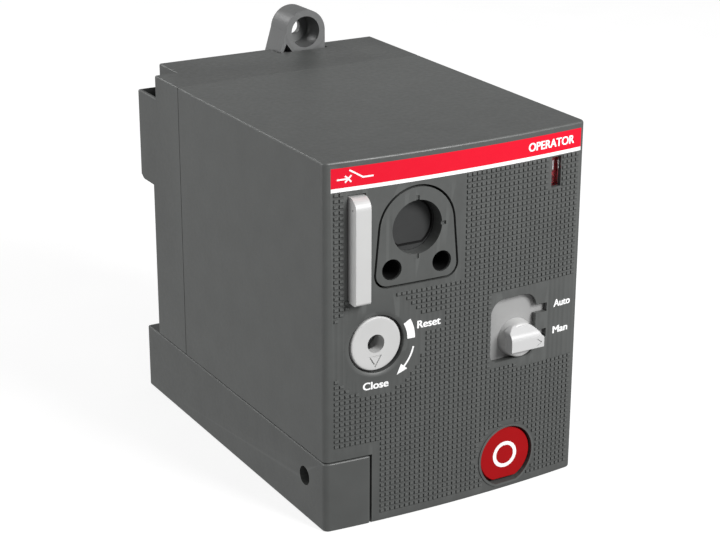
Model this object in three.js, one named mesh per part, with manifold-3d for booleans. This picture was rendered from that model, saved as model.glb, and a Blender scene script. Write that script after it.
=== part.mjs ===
// Remote operator that is screwed over the front of a moulded-case circuit breaker and works its toggle.
//
// A hex key in the reset knob turns the drive shaft. Its gear drives an idler, and the idler drives a
// rack on the toggle carriage, whose fork straddles the breaker's toggle. Two solenoids pull the same
// carriage up (close) and down (reset). A selector slides between Man and Auto, a red button pushes a
// rod through to the breaker's trip lever, and a padlock slide pulls out of the front.
//
// Millimetres. Inside the shell group x runs right from the left side, y runs back from the front
// corners and z runs up from the base. The exported group centres that over the origin.
import * as THREE from "three";
import { mergeVertices } from "three/addons/utils/BufferGeometryUtils.js";
import Module from "manifold-3d";

const wasm = await Module();
wasm.setup();

// ---- Driving dimensions -------------------------------------------------------------------------
const WIDTH = 90; // three poles at 30 mm
const HEIGHT = 115;
const BULGE = 2.4; // how far the front bows out at its middle
const EDGE_RADIUS = 2; // upright front edges
const WALL = 2.2;
const GAP = 0.3; // between faces that touch on the real thing
const SEAM_Y = 95.7; // joint between front cover and rear housing
const SIDE_BACK_Y = 118; // where the plain side walls end
const REAR_Y = 128; // flanges, top skirt and the seat on the breaker
const EAR_REAR_Y = 133;
const FRONT_MOST_Y = -5.8; // handle of the selector

const SKIRT_Z = [76.2, 107.2]; // flanges that carry the side walls on to the rear
const SKIRT_HEEL = { y: [125.1, 127.2], rise: 1.5 }; // their chamfered lower rear corners
const NOTCH = { x: 8, y: 113.8 }; // step in the upper left rear corner, above the skirt
const POCKET = { skin: 1, depth: 4.4 }; // moulded into the top of the left flange, beside the notch
const FRAME_Y = [114.3, 117.8]; // the mounting frame's plate, between the walls
const RIM = { x: [19, 83], z: [5, 101], width: 4 }; // seat on the breaker
const TOGGLE_SLOT = { x: [30, 60], z: [32, 86] };
const EAR = { x: 60.6, z: 121, radius: 7.6, frontY: 121.8 };
const EAR_BORE = { radius: 5.4, depth: 9.2, holeRadius: 2.7 };
const EAR_FOOT_X = [50.1, 68.2];

const CORNER = { width: 14.9, height: 22.4, rearY: 127.3, gap: 0.5, skin: 1.8 }; // wiring cover
const CORNER_SCREW = { y: 12.5, z: 13.7, bore: 3, hole: 1.9, seatX: 10.9 };
const TERMINALS = { x: [3, 12], y: [84, 116], z: [4, 17], ways: 3, pitch: 8, firstY: 90.5 };

const KNOB = { x: 16.9, z: 57.9, radius: 8.4, hole: 9, faceY: -0.9 };
const KNOB_BACK = { flange: 10.6, boss: 7, boreY: 6.6, rearY: 13 };
const LOCK = { x: 29.8, z: 92, hole: 8.2, depth: 2, recess: 7.9, recessFlat: 6.7, seatRearY: 14 };
const LOCK_SHAPE = { head: 12.4, foot: 4, footX: 9.6, footZ: 79.2 };
const LOCK_SCREW = { x: 8.3, z: 80.3, hole: 3.2, seatY: 11.7 };
const ROD_HOLE = 2.35; // guides of the trip rod
const BUTTON = { x: 63.4, z: 11.3, hole: 9.8, radius: 9.1, holeFlatZ: 2.3, flatZ: 3.2, faceY: -1.2 };
const WINDOW = { x0: 77.3, x1: 80.9, z0: 97.3, z1: 105.6 };
const FLAG = { x: [76.4, 82.6], z: [96.3, 108.3], y: [1.8, 2.8], armX: 79.9 };
const SLIDE = { x0: 7.8, x1: 12.75, z0: 72.3, z1: 104.2, frontY: -5, rearY: 24, nose: 3.5, hole: 3.5 };
const BAND = { x0: 2.3, x1: 88.3, z0: 107, z1: 113, lineZ: 106, thick: 0.4 };

const SELECTOR = { x: 66.9, z: 49.6, radius: 5.6, travel: 8.3, shank: 2.2, faceY: 0.6, backY: 2.2 };
const SELECTOR_PLATE = { x: [54.8, 78.4], z: [34.6, 64.9] };
const HANDLE = { x: [61.7, 73.7], lowZ: 47.1, faceTopZ: 50.5, topZ: 55.1, backY: -1.9 };

const MODULE = 1; // gear tooth module
const GEAR_TEETH = 24;
const IDLER_TEETH = 20;
const GEAR_Y = [58, 64];
const SHAFT = { radius: 4, y: [7, 92], flat: 3, clipY: 90.4 };
const PIN_RADIUS = 2.5;
const IDLER_X = KNOB.x + (MODULE * (GEAR_TEETH + IDLER_TEETH)) / 2;
const RACK_X = IDLER_X + (MODULE * IDLER_TEETH) / 2; // the rack's pitch line

const CHASSIS_X = [5, 86];
const FRONT_PLATE_Y = [42, 43.5];
const REAR_PLATE_Y = [86, 87.5];
const FLANGE_LOW_Z = [19.5, 21];
const FLANGE_HIGH_Z = [108.3, 109.8];
const POSTS = [[12, 33], [78, 25], [12, 98], [78, 104]];
const POST_SCREW = 1.6;
const ROD_RADIUS = 2.5;
const RODS = [
  ["guide_rod_front", 47.8, 50],
  ["guide_rod_rear", 47.8, 78],
];
const CARRIAGE_Z = [52, 88];
const CARRIAGE_X = 54.2; // its right face
const FORK = { x: [34, 56], y: [97.4, 121], z: 70, half: 12, arm: 4 };

const COIL = { x: 71.5, y: 66, radius: 12.5, bore: 4.6, flange: 1.4 };
const YOKE = { x: [59.5, 86.4], y: [57, 75], sheet: 1.8 };
const PLUNGER = { radius: 4, stud: 2.9 };

// ---- Finishes -----------------------------------------------------------------------------------
function finish(colour, roughness, metalness = 0) {
  return new THREE.MeshStandardMaterial({ color: colour, roughness, metalness });
}
const CASE_GREY = finish(0x5e605e, 0.55);
const FRAME_GREY = finish(0x7c7c7e, 0.5);
const PALE_GREY = finish(0xcfcfcf, 0.4);
const WHITE = finish(0xf2f2f2, 0.35);
const RED = finish(0xc21c20, 0.35);
const BAND_RED = finish(0xfc2438, 0.4);
const GREEN = finish(0x2e8b3d, 0.5);
const BLACK = finish(0x1c1c1c, 0.6);
const NYLON = finish(0xe4dfd0, 0.5);
const STEEL = finish(0xa8abb0, 0.35, 1);
const BRASS = finish(0xc2a05a, 0.35, 1);
const COPPER = finish(0xb5652e, 0.4, 1);
const BOARD = finish(0x1f6b3a, 0.5);
const CLEAR = finish(0xdfe6ea, 0.1);

// ---- Solids -------------------------------------------------------------------------------------
function solid(geometry) {
  const bare = geometry.clone();
  bare.deleteAttribute("normal");
  bare.deleteAttribute("uv");
  const merged = mergeVertices(bare, 1e-4);
  return new wasm.Manifold(
    new wasm.Mesh({
      numProp: 3,
      vertProperties: merged.attributes.position.array,
      triVerts: new Uint32Array(merged.index.array),
    }),
  );
}

function join(first, ...others) {
  return others.reduce((sum, other) => sum.add(other), first);
}

function cut(first, ...others) {
  return others.reduce((rest, other) => rest.subtract(other), first);
}

function box(x0, x1, y0, y1, z0, z1) {
  const g = new THREE.BoxGeometry(x1 - x0, y1 - y0, z1 - z0);
  return solid(g.translate((x0 + x1) / 2, (y0 + y1) / 2, (z0 + z1) / 2));
}

function cylinder(axis, radius, from, to, a, b, segments = 24) {
  const g = new THREE.CylinderGeometry(radius, radius, to - from, segments);
  const middle = (from + to) / 2;
  if (axis === "x") return solid(g.rotateZ(Math.PI / 2).translate(middle, a, b));
  if (axis === "y") return solid(g.translate(a, middle, b));
  return solid(g.rotateX(Math.PI / 2).translate(a, b, middle));
}
const rodX = (r, x0, x1, y, z, n) => cylinder("x", r, x0, x1, y, z, n);
const rodY = (r, y0, y1, x, z, n) => cylinder("y", r, y0, y1, x, z, n);
const rodZ = (r, z0, z1, x, y, n) => cylinder("z", r, z0, z1, x, y, n);

// A turned piece about a line along y: [[radius, y], ...] is its outline from the front to the back.
function turnedY(profile, x, z, segments = 24) {
  const points = profile.map(([r, y]) => new THREE.Vector2(r, y));
  return solid(new THREE.LatheGeometry(points, segments).translate(x, 0, z));
}

function shapeOf(points) {
  return new THREE.Shape(points.map(([a, b]) => new THREE.Vector2(a, b)));
}

// An outline in x and z, carried along y.
function extrudeY(points, y0, y1) {
  const g = new THREE.ExtrudeGeometry(shapeOf(points), { depth: y1 - y0, bevelEnabled: false });
  return solid(g.rotateX(Math.PI / 2).translate(0, y1, 0));
}

// An outline in x and y, carried along z.
function extrudeZ(points, z0, z1) {
  const g = new THREE.ExtrudeGeometry(shapeOf(points), { depth: z1 - z0, bevelEnabled: false });
  return solid(g.translate(0, 0, z0));
}

// An outline in y and z, carried along x.
function extrudeX(points, x0, x1) {
  const g = new THREE.ExtrudeGeometry(shapeOf(points), { depth: x1 - x0, bevelEnabled: false });
  return solid(g.rotateZ(Math.PI / 2).rotateY(Math.PI / 2).translate(x0, 0, 0));
}

function arc(cx, cz, radius, fromDeg, toDeg, steps) {
  return Array.from({ length: steps + 1 }, (_, i) => {
    const angle = THREE.MathUtils.degToRad(fromDeg + ((toDeg - fromDeg) * i) / steps);
    return [cx + radius * Math.cos(angle), cz + radius * Math.sin(angle)];
  });
}

// ---- The bowed front ----------------------------------------------------------------------------
function frontY(x) {
  const across = (x - WIDTH / 2) / (WIDTH / 2);
  return -BULGE * (1 - across * across);
}

// Plan of the case, counter-clockwise seen from above, set in from the outer face on front and sides.
function plan(inset, rearY) {
  const r = Math.max(EDGE_RADIUS - inset, 0.5);
  const left = inset + r;
  const right = WIDTH - inset - r;
  const cornerY = frontY(left) + inset + r;
  const steps = 14;
  const bow = Array.from({ length: steps - 1 }, (_, i) => {
    const x = left + ((right - left) * (i + 1)) / steps;
    return [x, frontY(x) + inset];
  });
  return [
    [inset, rearY],
    ...arc(left, cornerY, r, 180, 270, 3),
    ...bow,
    ...arc(right, cornerY, r, 270, 360, 3),
    [WIDTH - inset, rearY],
  ];
}

// The front face from z0 to z1 as a sheet between two depths below its surface.
function frontSheet(x0, x1, z0, z1, outer, inner) {
  const steps = 14;
  const xs = Array.from({ length: steps + 1 }, (_, i) => x0 + ((x1 - x0) * i) / steps);
  const near = xs.map((x) => [x, frontY(x) + outer]);
  const far = xs.map((x) => [x, frontY(x) + inner]).reverse();
  return extrudeZ([...near, ...far], z0, z1);
}

// The room that the wiring cover takes, and some more above and beside it.
function cornerBlock(extra) {
  return box(-9, CORNER.width + extra, -9, 140, -9, CORNER.height + extra);
}

function flatCircle(x, z, radius, flatZ, segments = 32) {
  return arc(x, z, radius, 0, 360, segments)
    .slice(0, -1)
    .map(([px, pz]) => [px, Math.max(pz, flatZ)]);
}

// Straight-sided outline with a round head and two round lower corners.
function lockOutline(grow) {
  const { footX, footZ } = LOCK_SHAPE;
  const head = LOCK_SHAPE.head + grow;
  const foot = LOCK_SHAPE.foot + grow;
  const lean = THREE.MathUtils.radToDeg(Math.asin((footX + foot - head) / (LOCK.z - footZ)));
  return [
    ...arc(LOCK.x, LOCK.z, head, lean, 180 - lean, 18),
    ...arc(LOCK.x - footX, footZ, foot, 180 - lean, 270, 5),
    ...arc(LOCK.x + footX, footZ, foot, 270, 360 + lean, 5),
  ];
}

// The selector's window, with one notch for each position on its right.
function selectorOutline() {
  return [
    ...arc(59.1, 46.6, 3, 180, 270, 4),
    [69.6, 43.6],
    ...arc(69.2, 47.4, 3.8, -85, -5, 3),
    [73.2, 48.2],
    [77.4, 48.2],
    [77.4, 50.9],
    [73.2, 50.9],
    [73.2, 56.5],
    [77.4, 56.5],
    [77.4, 59.3],
    [73.3, 59.6],
    ...arc(68.6, 59.2, 4.7, 15, 90, 4),
    ...arc(61.1, 58.9, 5, 90, 180, 5),
  ];
}

// ---- Gear teeth ---------------------------------------------------------------------------------
const ADDENDUM = 0.9 * MODULE;
const DEDENDUM = 1.25 * MODULE;
const TOOTH_HALF = [0.37, 0.1]; // half a tooth's thickness at its root and its tip, in pitches

function gearOutline(x, z, teeth, phase) {
  const pitchRadius = (MODULE * teeth) / 2;
  const radii = [pitchRadius - DEDENDUM, pitchRadius + ADDENDUM];
  const pitch = (2 * Math.PI) / teeth;
  const points = [];
  for (let tooth = 0; tooth < teeth; tooth += 1) {
    for (const [level, side] of [[0, -1], [1, -1], [1, 1], [0, 1]]) {
      const angle = phase + pitch * (tooth + side * TOOTH_HALF[level]);
      points.push([x + radii[level] * Math.cos(angle), z + radii[level] * Math.sin(angle)]);
    }
  }
  return points;
}

function rackOutline(backX, z0, z1, toothZ) {
  const pitch = Math.PI * MODULE;
  const xs = [RACK_X + DEDENDUM, RACK_X - ADDENDUM];
  const points = [[backX, z0], [backX, z1], [xs[0], z1]];
  const first = Math.floor((z1 - toothZ) / pitch - 0.5);
  for (let k = first; toothZ + k * pitch - pitch / 2 > z0; k -= 1) {
    for (const [level, side] of [[0, 1], [1, 1], [1, -1], [0, -1]])
      points.push([xs[level], toothZ + pitch * (k + side * TOOTH_HALF[level])]);
  }
  points.push([xs[0], z0]);
  return points;
}

// ---- Parts --------------------------------------------------------------------------------------
const part = new THREE.Group();
const shell = new THREE.Group();
shell.position.set(-WIDTH / 2, -(FRONT_MOST_Y + EAR_REAR_Y) / 2, 0);
part.add(shell);

function add(name, shape, material) {
  const data = shape.getMesh();
  const geometry = new THREE.BufferGeometry();
  geometry.setAttribute("position", new THREE.BufferAttribute(data.vertProperties, 3));
  geometry.setIndex(new THREE.BufferAttribute(data.triVerts, 1));
  geometry.computeVertexNormals();
  const mesh = new THREE.Mesh(geometry, material);
  mesh.name = name;
  shell.add(mesh);
}

function addFrontCover() {
  const inner = cut(
    extrudeZ(plan(WALL, SEAM_Y + 9), WALL, HEIGHT - WALL),
    cornerBlock(WALL + CORNER.gap),
  );
  const beside = 0.4; // clearance round the slide and the lock plate
  const plateX = SELECTOR_PLATE.x;
  const plateZ = SELECTOR_PLATE.z;
  const cover = cut(
    extrudeZ(plan(0, SEAM_Y - GAP / 2), 0, HEIGHT),
    inner,
    cornerBlock(CORNER.gap),
    box(plateX[0] - 1.1, plateX[1] + 1.1, 0.2, 3, plateZ[0] - 1.1, plateZ[1] + SELECTOR.travel + 1.1),
    frontSheet(BAND.x0 - GAP, BAND.x1 + GAP, BAND.lineZ - GAP, BAND.z1 + GAP, -1, BAND.thick + GAP),
    box(SLIDE.x0 - beside, SLIDE.x1 + beside, -4, 4, SLIDE.z0 - beside, SLIDE.z1 + beside),
    extrudeY(lockOutline(beside), -4, 4),
    rodY(KNOB.hole, -4, 4, KNOB.x, KNOB.z, 32),
    extrudeY(selectorOutline(), -4, 4),
    box(WINDOW.x0, WINDOW.x1, -4, 4, WINDOW.z0, WINDOW.z1),
    extrudeY(flatCircle(BUTTON.x, BUTTON.z, BUTTON.hole, BUTTON.holeFlatZ), -4, 4),
    rodX(CORNER_SCREW.hole, CORNER.width - 3, CORNER.width + 5, CORNER_SCREW.y, CORNER_SCREW.z, 16),
  );
  add("front_cover", cover, CASE_GREY);
}

function addRearHousing() {
  const [skirtLow, skirtHigh] = SKIRT_Z;
  const under = skirtLow - 9;
  const [heelFront, heelBack] = SKIRT_HEEL.y;
  const heelTop = skirtLow + SKIRT_HEEL.rise;
  const pocketFloor = skirtHigh - POCKET.depth;
  const behind = REAR_Y + 1;
  const heel = [
    [heelFront, under], [heelFront, skirtLow], [heelBack, heelTop], [behind, heelTop], [behind, under],
  ];
  const outer = cut(
    join(
      box(0, WIDTH, SEAM_Y + GAP / 2, SIDE_BACK_Y, 0, HEIGHT),
      box(0, WIDTH, SIDE_BACK_Y - 1, REAR_Y, ...SKIRT_Z),
      box(NOTCH.x, WIDTH, SIDE_BACK_Y - 1, REAR_Y, skirtHigh - 1, HEIGHT),
    ),
    box(-1, NOTCH.x, NOTCH.y, REAR_Y + 1, skirtHigh, HEIGHT + 1),
    box(POCKET.skin, NOTCH.x - 0.3, NOTCH.y + 0.6, REAR_Y - POCKET.skin, pocketFloor, skirtHigh + 1),
    extrudeX(heel, -1, WIDTH + 1),
    cornerBlock(CORNER.gap),
  );
  const hollow = cut(
    join(
      box(WALL, WIDTH - WALL, SEAM_Y - 1, SIDE_BACK_Y + 1, WALL, HEIGHT - WALL),
      box(WALL, WIDTH - WALL, SEAM_Y + 1, REAR_Y + 1, under, skirtHigh - WALL),
      box(NOTCH.x + WALL, WIDTH - WALL, SEAM_Y + 1, REAR_Y + 1, skirtLow, HEIGHT - WALL),
    ),
    box(-1, NOTCH.x + WALL, NOTCH.y - WALL, REAR_Y + 2, pocketFloor - POCKET.skin, HEIGHT + 1),
    cornerBlock(WALL + CORNER.gap),
  );
  const [footLeft, footRight] = EAR_FOOT_X;
  const earNotch = box(footLeft - 0.5, footRight + 0.5, EAR.frontY - 1.2, behind, 110, HEIGHT + 1);
  add("rear_housing", cut(outer, hollow, earNotch), CASE_GREY);
}

function addMountingFrame() {
  const edge = WALL + GAP;
  const [plateFront, plateBack] = FRAME_Y;
  const plate = cut(
    box(edge, WIDTH - edge, plateFront, plateBack, edge, HEIGHT - edge),
    box(0, NOTCH.x + edge, plateFront - 1, plateBack + 1, SKIRT_Z[1] - POCKET.depth - edge, HEIGHT),
    cornerBlock(CORNER.gap + edge),
  );
  const { width } = RIM;
  const rim = cut(
    box(...RIM.x, plateFront + 1, REAR_Y, ...RIM.z),
    box(RIM.x[0] + width, RIM.x[1] - width, plateBack, REAR_Y + 1, RIM.z[0] + width, RIM.z[1] - width),
  );
  const [footLeft, footRight] = EAR_FOOT_X;
  const footZ = HEIGHT - 3;
  const setBack = 4.5; // of the sloping web behind the boss's face
  const shoulder = arc(EAR.x, EAR.z, EAR.radius, 90, 152, 6);
  const web = [[footLeft, footZ], [footRight, footZ], [footRight, EAR.z], ...shoulder];
  const foot = [[57, footZ], [footRight, footZ], [footRight, EAR.z], [EAR.x, EAR.z]];
  const through = [plateFront - 4, EAR_REAR_Y + 1];
  const frame = cut(
    join(
      plate,
      rim,
      rodY(EAR.radius, EAR.frontY, EAR_REAR_Y, EAR.x, EAR.z, 32),
      extrudeY(web, EAR.frontY + setBack, EAR_REAR_Y),
      extrudeY(foot, EAR.frontY, EAR_REAR_Y),
      box(footLeft, footRight, plateFront + 1, EAR_REAR_Y, 106, HEIGHT - edge),
    ),
    box(...TOGGLE_SLOT.x, ...through, ...TOGGLE_SLOT.z),
    rodY(ROD_HOLE, ...through, BUTTON.x, BUTTON.z, 16),
    rodY(EAR_BORE.radius, plateFront - 4, EAR.frontY + EAR_BORE.depth, EAR.x, EAR.z, 24),
    rodY(EAR_BORE.holeRadius, ...through, EAR.x, EAR.z, 16),
    ...POSTS.map(([x, z]) => rodY(POST_SCREW + GAP, ...through, x, z, 12)),
  );
  add("mounting_frame", frame, FRAME_GREY);
}

function addWiringCover() {
  const { width, height, rearY, skin } = CORNER;
  const { y, z, bore, hole, seatX } = CORNER_SCREW;
  const corner = cut(
    extrudeZ(plan(0, rearY), 0, height),
    box(width, WIDTH + 1, -9, rearY + 1, -1, height + 1),
    box(skin, width - skin, 3, rearY + 1, skin, height - skin),
  );
  const boss = rodX(bore + 2, skin / 2, width - skin / 2, y, z, 20);
  const cover = cut(
    join(corner, boss),
    rodX(bore, -1, seatX, y, z, 20),
    rodX(hole, seatX - 1, width + 1, y, z, 16),
  );
  add("wiring_cover", cover, CASE_GREY);
  const headX = [seatX - GAP - 2.1, seatX - GAP];
  const screw = join(rodX(2.6, ...headX, y, z, 16), rodX(1.5, headX[1] - 1, 21, y, z, 12));
  const slot = box(headX[0] - 1, headX[0] + 1, y - 0.5, y + 0.5, z - bore, z + bore);
  add("wiring_cover_screw", cut(screw, slot), STEEL);
}

function addTerminals() {
  const { x, y, z, ways, pitch, firstY } = TERMINALS;
  const top = z[1];
  const middleX = (x[0] + x[1]) / 2;
  const wayYs = Array.from({ length: ways }, (_, i) => firstY + pitch * i);
  const wells = wayYs.map((wayY) => rodZ(2.3, top - 5, top + 1, middleX, wayY, 16));
  add("terminal_block", cut(box(...x, ...y, ...z), ...wells), BLACK);
  wayYs.forEach((wayY, i) => {
    const head = rodZ(1.9, top - 4.6, top - 1.6, middleX, wayY, 12);
    const slot = box(...x, wayY - 0.4, wayY + 0.4, top - 2.4, top);
    add(`terminal_screw_${i + 1}`, cut(head, slot), STEEL);
  });
}

function addNameBand() {
  const splitZ = [BAND.z0 - GAP / 2, BAND.z0 + GAP / 2];
  add("name_band", frontSheet(BAND.x0, BAND.x1, splitZ[1], BAND.z1, 0, BAND.thick), BAND_RED);
  add("band_underline", frontSheet(BAND.x0, BAND.x1, BAND.lineZ, splitZ[0], 0, BAND.thick), WHITE);
}

function addLock() {
  const { x, z, hole, depth, recess, recessFlat, seatRearY } = LOCK;
  const { hole: screwHole, seatY } = LOCK_SCREW;
  const screwXs = [x - LOCK_SCREW.x, x + LOCK_SCREW.x];
  const atScrews = (radius, y0, y1, sides) =>
    screwXs.map((sx) => rodY(radius, y0, y1, sx, LOCK_SCREW.z, sides));
  const slotHalf = 0.55;
  const slotReach = hole + 1.4;
  const slotY = [-4, frontY(x) + 0.7];
  const plate = cut(
    extrudeY(lockOutline(-0.2), -4, depth).intersect(extrudeZ(plan(0, 20), 60, 112)),
    rodY(hole, -4, 4, x, z, 32),
    box(x - slotReach, x + slotReach, ...slotY, z - slotHalf, z + slotHalf),
    box(x - slotHalf, x + slotHalf, ...slotY, z - slotReach, z + slotReach),
    ...atScrews(screwHole, -4, 4, 20),
  );
  add("lock_plate", plate, CASE_GREY);

  const faceY = depth + GAP;
  const recessY = 10;
  const seat = cut(
    box(x - 12.4, x + 12.4, faceY, seatRearY, LOCK_SCREW.z - 3.8, z + 11.8),
    extrudeY(flatCircle(x, z, recess, z - recessFlat), faceY - 1, recessY),
    ...atScrews(screwHole, faceY - 1, seatY, 20),
    ...atScrews(1.8, seatY - 1, seatRearY + 1, 12),
  );
  add("lock_seat", seat, BLACK);
  const blank = flatCircle(x, z, recess - GAP, z - recessFlat + GAP);
  add("lock_blank", extrudeY(blank, faceY, recessY - 0.4), CASE_GREY);

  const headY = [seatY - GAP - 2, seatY - GAP];
  ["left", "right"].forEach((side, i) => {
    const sx = screwXs[i];
    const screw = join(
      rodY(2.8, ...headY, sx, LOCK_SCREW.z, 16),
      rodY(1.4, headY[1] - 0.5, seatRearY + 5, sx, LOCK_SCREW.z, 12),
    );
    const slot = box(sx - 2, sx + 2, headY[0] - 1, headY[0] + 0.8, LOCK_SCREW.z - 0.4, LOCK_SCREW.z + 0.4);
    add(`lock_screw_${side}`, cut(screw, slot), STEEL);
  });
}

function addPadlockSlide() {
  const { x0, x1, z0, z1, frontY: y0, rearY: y1, nose, hole } = SLIDE;
  const profile = [
    [y1, z0],
    [y1, z1],
    ...arc(y0 + nose, z1 - nose, nose, 90, 180, 5),
    ...arc(y0 + 1, z0 + 1, 1, 180, 270, 2),
  ];
  const stop = box(x0, x1, y1 - 4, y1, z0 - 1.6, z1 + 1.6);
  const shackleHoles = [81, 95.5].map((z) => rodX(hole, x0 - 1, x1 + 1, 9, z, 24));
  add("padlock_slide", cut(join(extrudeX(profile, x0, x1), stop), ...shackleHoles), PALE_GREY);
  const near = x1 + 0.45;
  const springPath = [
    [near, 6], [near + 1.2, 8], [near + 1.2, 14], [near, 17], [near + 0.8, 20],
    [near + 1.4, 20], [near + 0.7, 17], [near + 1.8, 14.3], [near + 1.8, 7.8],
  ];
  add("slide_detent_spring", extrudeZ(springPath, 84, 92), STEEL);
}

// A D-shaped bar on the knob's line: the drive shaft, or the bore that takes it.
function shaftBar(grow, y0, y1) {
  const flatX = KNOB.x + SHAFT.flat + grow;
  return cut(
    rodY(SHAFT.radius + grow, y0, y1, KNOB.x, KNOB.z),
    box(flatX, flatX + 5, GEAR_Y[0] - 1.5, GEAR_Y[1] + 2, KNOB.z - 8, KNOB.z + 8),
  );
}

function addKnob() {
  const { x, z, radius, faceY } = KNOB;
  const { flange, boss, boreY, rearY } = KNOB_BACK;
  const round = 0.6;
  const flangeY = [2, 3.8];
  const profile = [
    [0, faceY], [radius - round, faceY], [radius, faceY + round], [radius, flangeY[0]], [flange, flangeY[0]],
    [flange, flangeY[1]], [boss, flangeY[1]], [boss, rearY], [0, rearY],
  ];
  const triangle = [[x - 2.3, z - 3.8], [x + 2.3, z - 3.8], [x, z - 7.5]];
  const knob = cut(
    turnedY(profile, x, z, 32),
    rodY(2.85, faceY - 1, 5, x, z, 6),
    extrudeY(triangle, faceY - 1, faceY + 0.35),
    rodY(SHAFT.radius + GAP, boreY, rearY + 1, x, z, 24),
  );
  add("reset_knob", knob, PALE_GREY);
}

function addBush(name, bodyY, flangeY) {
  const bush = join(rodY(5.6, ...bodyY, KNOB.x, KNOB.z), rodY(7.4, ...flangeY, KNOB.x, KNOB.z));
  add(name, cut(bush, rodY(SHAFT.radius + 0.1, bodyY[0] - 1, bodyY[1] + 1, KNOB.x, KNOB.z)), BRASS);
}

function addGearTrain() {
  const { x, z } = KNOB;
  const grooveY = [SHAFT.clipY - 0.2, SHAFT.clipY + 0.8];
  const core = rodY(SHAFT.radius - 0.6, grooveY[0] - 1, grooveY[1] + 1, x, z);
  const groove = cut(rodY(5, ...grooveY, x, z), core);
  add("drive_shaft", cut(shaftBar(0, ...SHAFT.y), groove), STEEL);
  const clipY = [SHAFT.clipY, SHAFT.clipY + 0.6];
  const clip = cut(
    rodY(5.4, ...clipY, x, z),
    rodY(SHAFT.radius - 0.5, clipY[0] - 1, clipY[1] + 1, x, z),
    box(x - 1.8, x + 1.8, clipY[0] - 1, clipY[1] + 1, z - 9, z),
  );
  add("shaft_clip", clip, STEEL);
  const gear = extrudeY(gearOutline(x, z, GEAR_TEETH, 0), ...GEAR_Y);
  add("output_gear", cut(gear, shaftBar(GAP, GEAR_Y[0] - 1, GEAR_Y[1] + 1)), NYLON);

  const flange = 1.6;
  const frontFlangeY = [FRONT_PLATE_Y[0] - GAP - flange, FRONT_PLATE_Y[0] - GAP];
  addBush("front_bush", [frontFlangeY[0], FRONT_PLATE_Y[1]], frontFlangeY);
  const rearFlangeY = [REAR_PLATE_Y[1] + GAP, REAR_PLATE_Y[1] + GAP + flange];
  addBush("rear_bush", [REAR_PLATE_Y[0], rearFlangeY[1]], rearFlangeY);

  const idlerHubY = [46, 84];
  const idler = join(
    extrudeY(gearOutline(IDLER_X, z, IDLER_TEETH, Math.PI / IDLER_TEETH), ...GEAR_Y),
    rodY(4, ...idlerHubY, IDLER_X, z),
  );
  const idlerBore = rodY(PIN_RADIUS + GAP, idlerHubY[0] - 1, idlerHubY[1] + 1, IDLER_X, z);
  add("idler_gear", cut(idler, idlerBore), NYLON);
  const pinHeadY = [FRONT_PLATE_Y[0] - GAP - 2, FRONT_PLATE_Y[0] - GAP];
  const pin = rodY(PIN_RADIUS, pinHeadY[1] - 1, REAR_PLATE_Y[1] + 3.5, IDLER_X, z);
  add("idler_pin", join(pin, rodY(4, ...pinHeadY, IDLER_X, z)), STEEL);
}

function addChassis() {
  const depth = [FRONT_PLATE_Y[0], REAR_PLATE_Y[1]];
  const through = [FRONT_PLATE_Y[0] - 5, REAR_PLATE_Y[1] + 5];
  const upright = [FLANGE_LOW_Z[0] - 5, FLANGE_HIGH_Z[1] + 5];
  const shared = [
    rodY(5.6 + GAP, ...through, KNOB.x, KNOB.z),
    rodY(PIN_RADIUS + GAP, ...through, IDLER_X, KNOB.z, 16),
    cornerBlock(WALL + CORNER.gap + GAP),
  ];
  const front = cut(
    box(...CHASSIS_X, ...FRONT_PLATE_Y, FLANGE_LOW_Z[1] + 0.4, FLANGE_HIGH_Z[0] - GAP),
    ...shared,
    box(48.6, 55.8, FRONT_PLATE_Y[0] - 1, FRONT_PLATE_Y[1] + 1, 55, 96),
    box(57, 84, FRONT_PLATE_Y[0] - 1, FRONT_PLATE_Y[1] + 1, 28, 104),
  );
  add("front_chassis_plate", front, STEEL);
  const bracket = cut(
    join(
      box(...CHASSIS_X, ...REAR_PLATE_Y, FLANGE_LOW_Z[0], FLANGE_HIGH_Z[1]),
      box(...CHASSIS_X, ...depth, ...FLANGE_LOW_Z),
      box(...CHASSIS_X, ...depth, ...FLANGE_HIGH_Z),
    ),
    ...shared,
    box(29, 57.5, REAR_PLATE_Y[0] - 1, REAR_PLATE_Y[1] + 1, 30, 92),
    box(60, 82, REAR_PLATE_Y[0] - 1, REAR_PLATE_Y[1] + 1, 28, 100),
    ...RODS.map(([, x, y]) => rodZ(ROD_RADIUS + GAP, ...upright, x, y, 16)),
    rodZ(COIL.bore, ...upright, COIL.x, COIL.y, 16),
    ...POSTS.map(([x, z]) => rodY(POST_SCREW + GAP, REAR_PLATE_Y[0] - 1, REAR_PLATE_Y[1] + 1, x, z, 12)),
  );
  add("chassis_bracket", bracket, STEEL);
  for (const [name, x, y] of RODS)
    add(name, rodZ(ROD_RADIUS, FLANGE_LOW_Z[0] - 2, FLANGE_HIGH_Z[1] + 1.2, x, y, 16), STEEL);
  POSTS.forEach(([x, z], i) => {
    const post = join(
      rodY(3.5, REAR_PLATE_Y[1] + GAP, FRAME_Y[0] - GAP, x, z, 12),
      rodY(POST_SCREW, REAR_PLATE_Y[0] - 3, FRAME_Y[1], x, z, 12),
      rodY(3.2, REAR_PLATE_Y[0] - 3, REAR_PLATE_Y[0] - GAP, x, z, 12),
    );
    add(`chassis_post_${i + 1}`, post, STEEL);
  });
}

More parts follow.
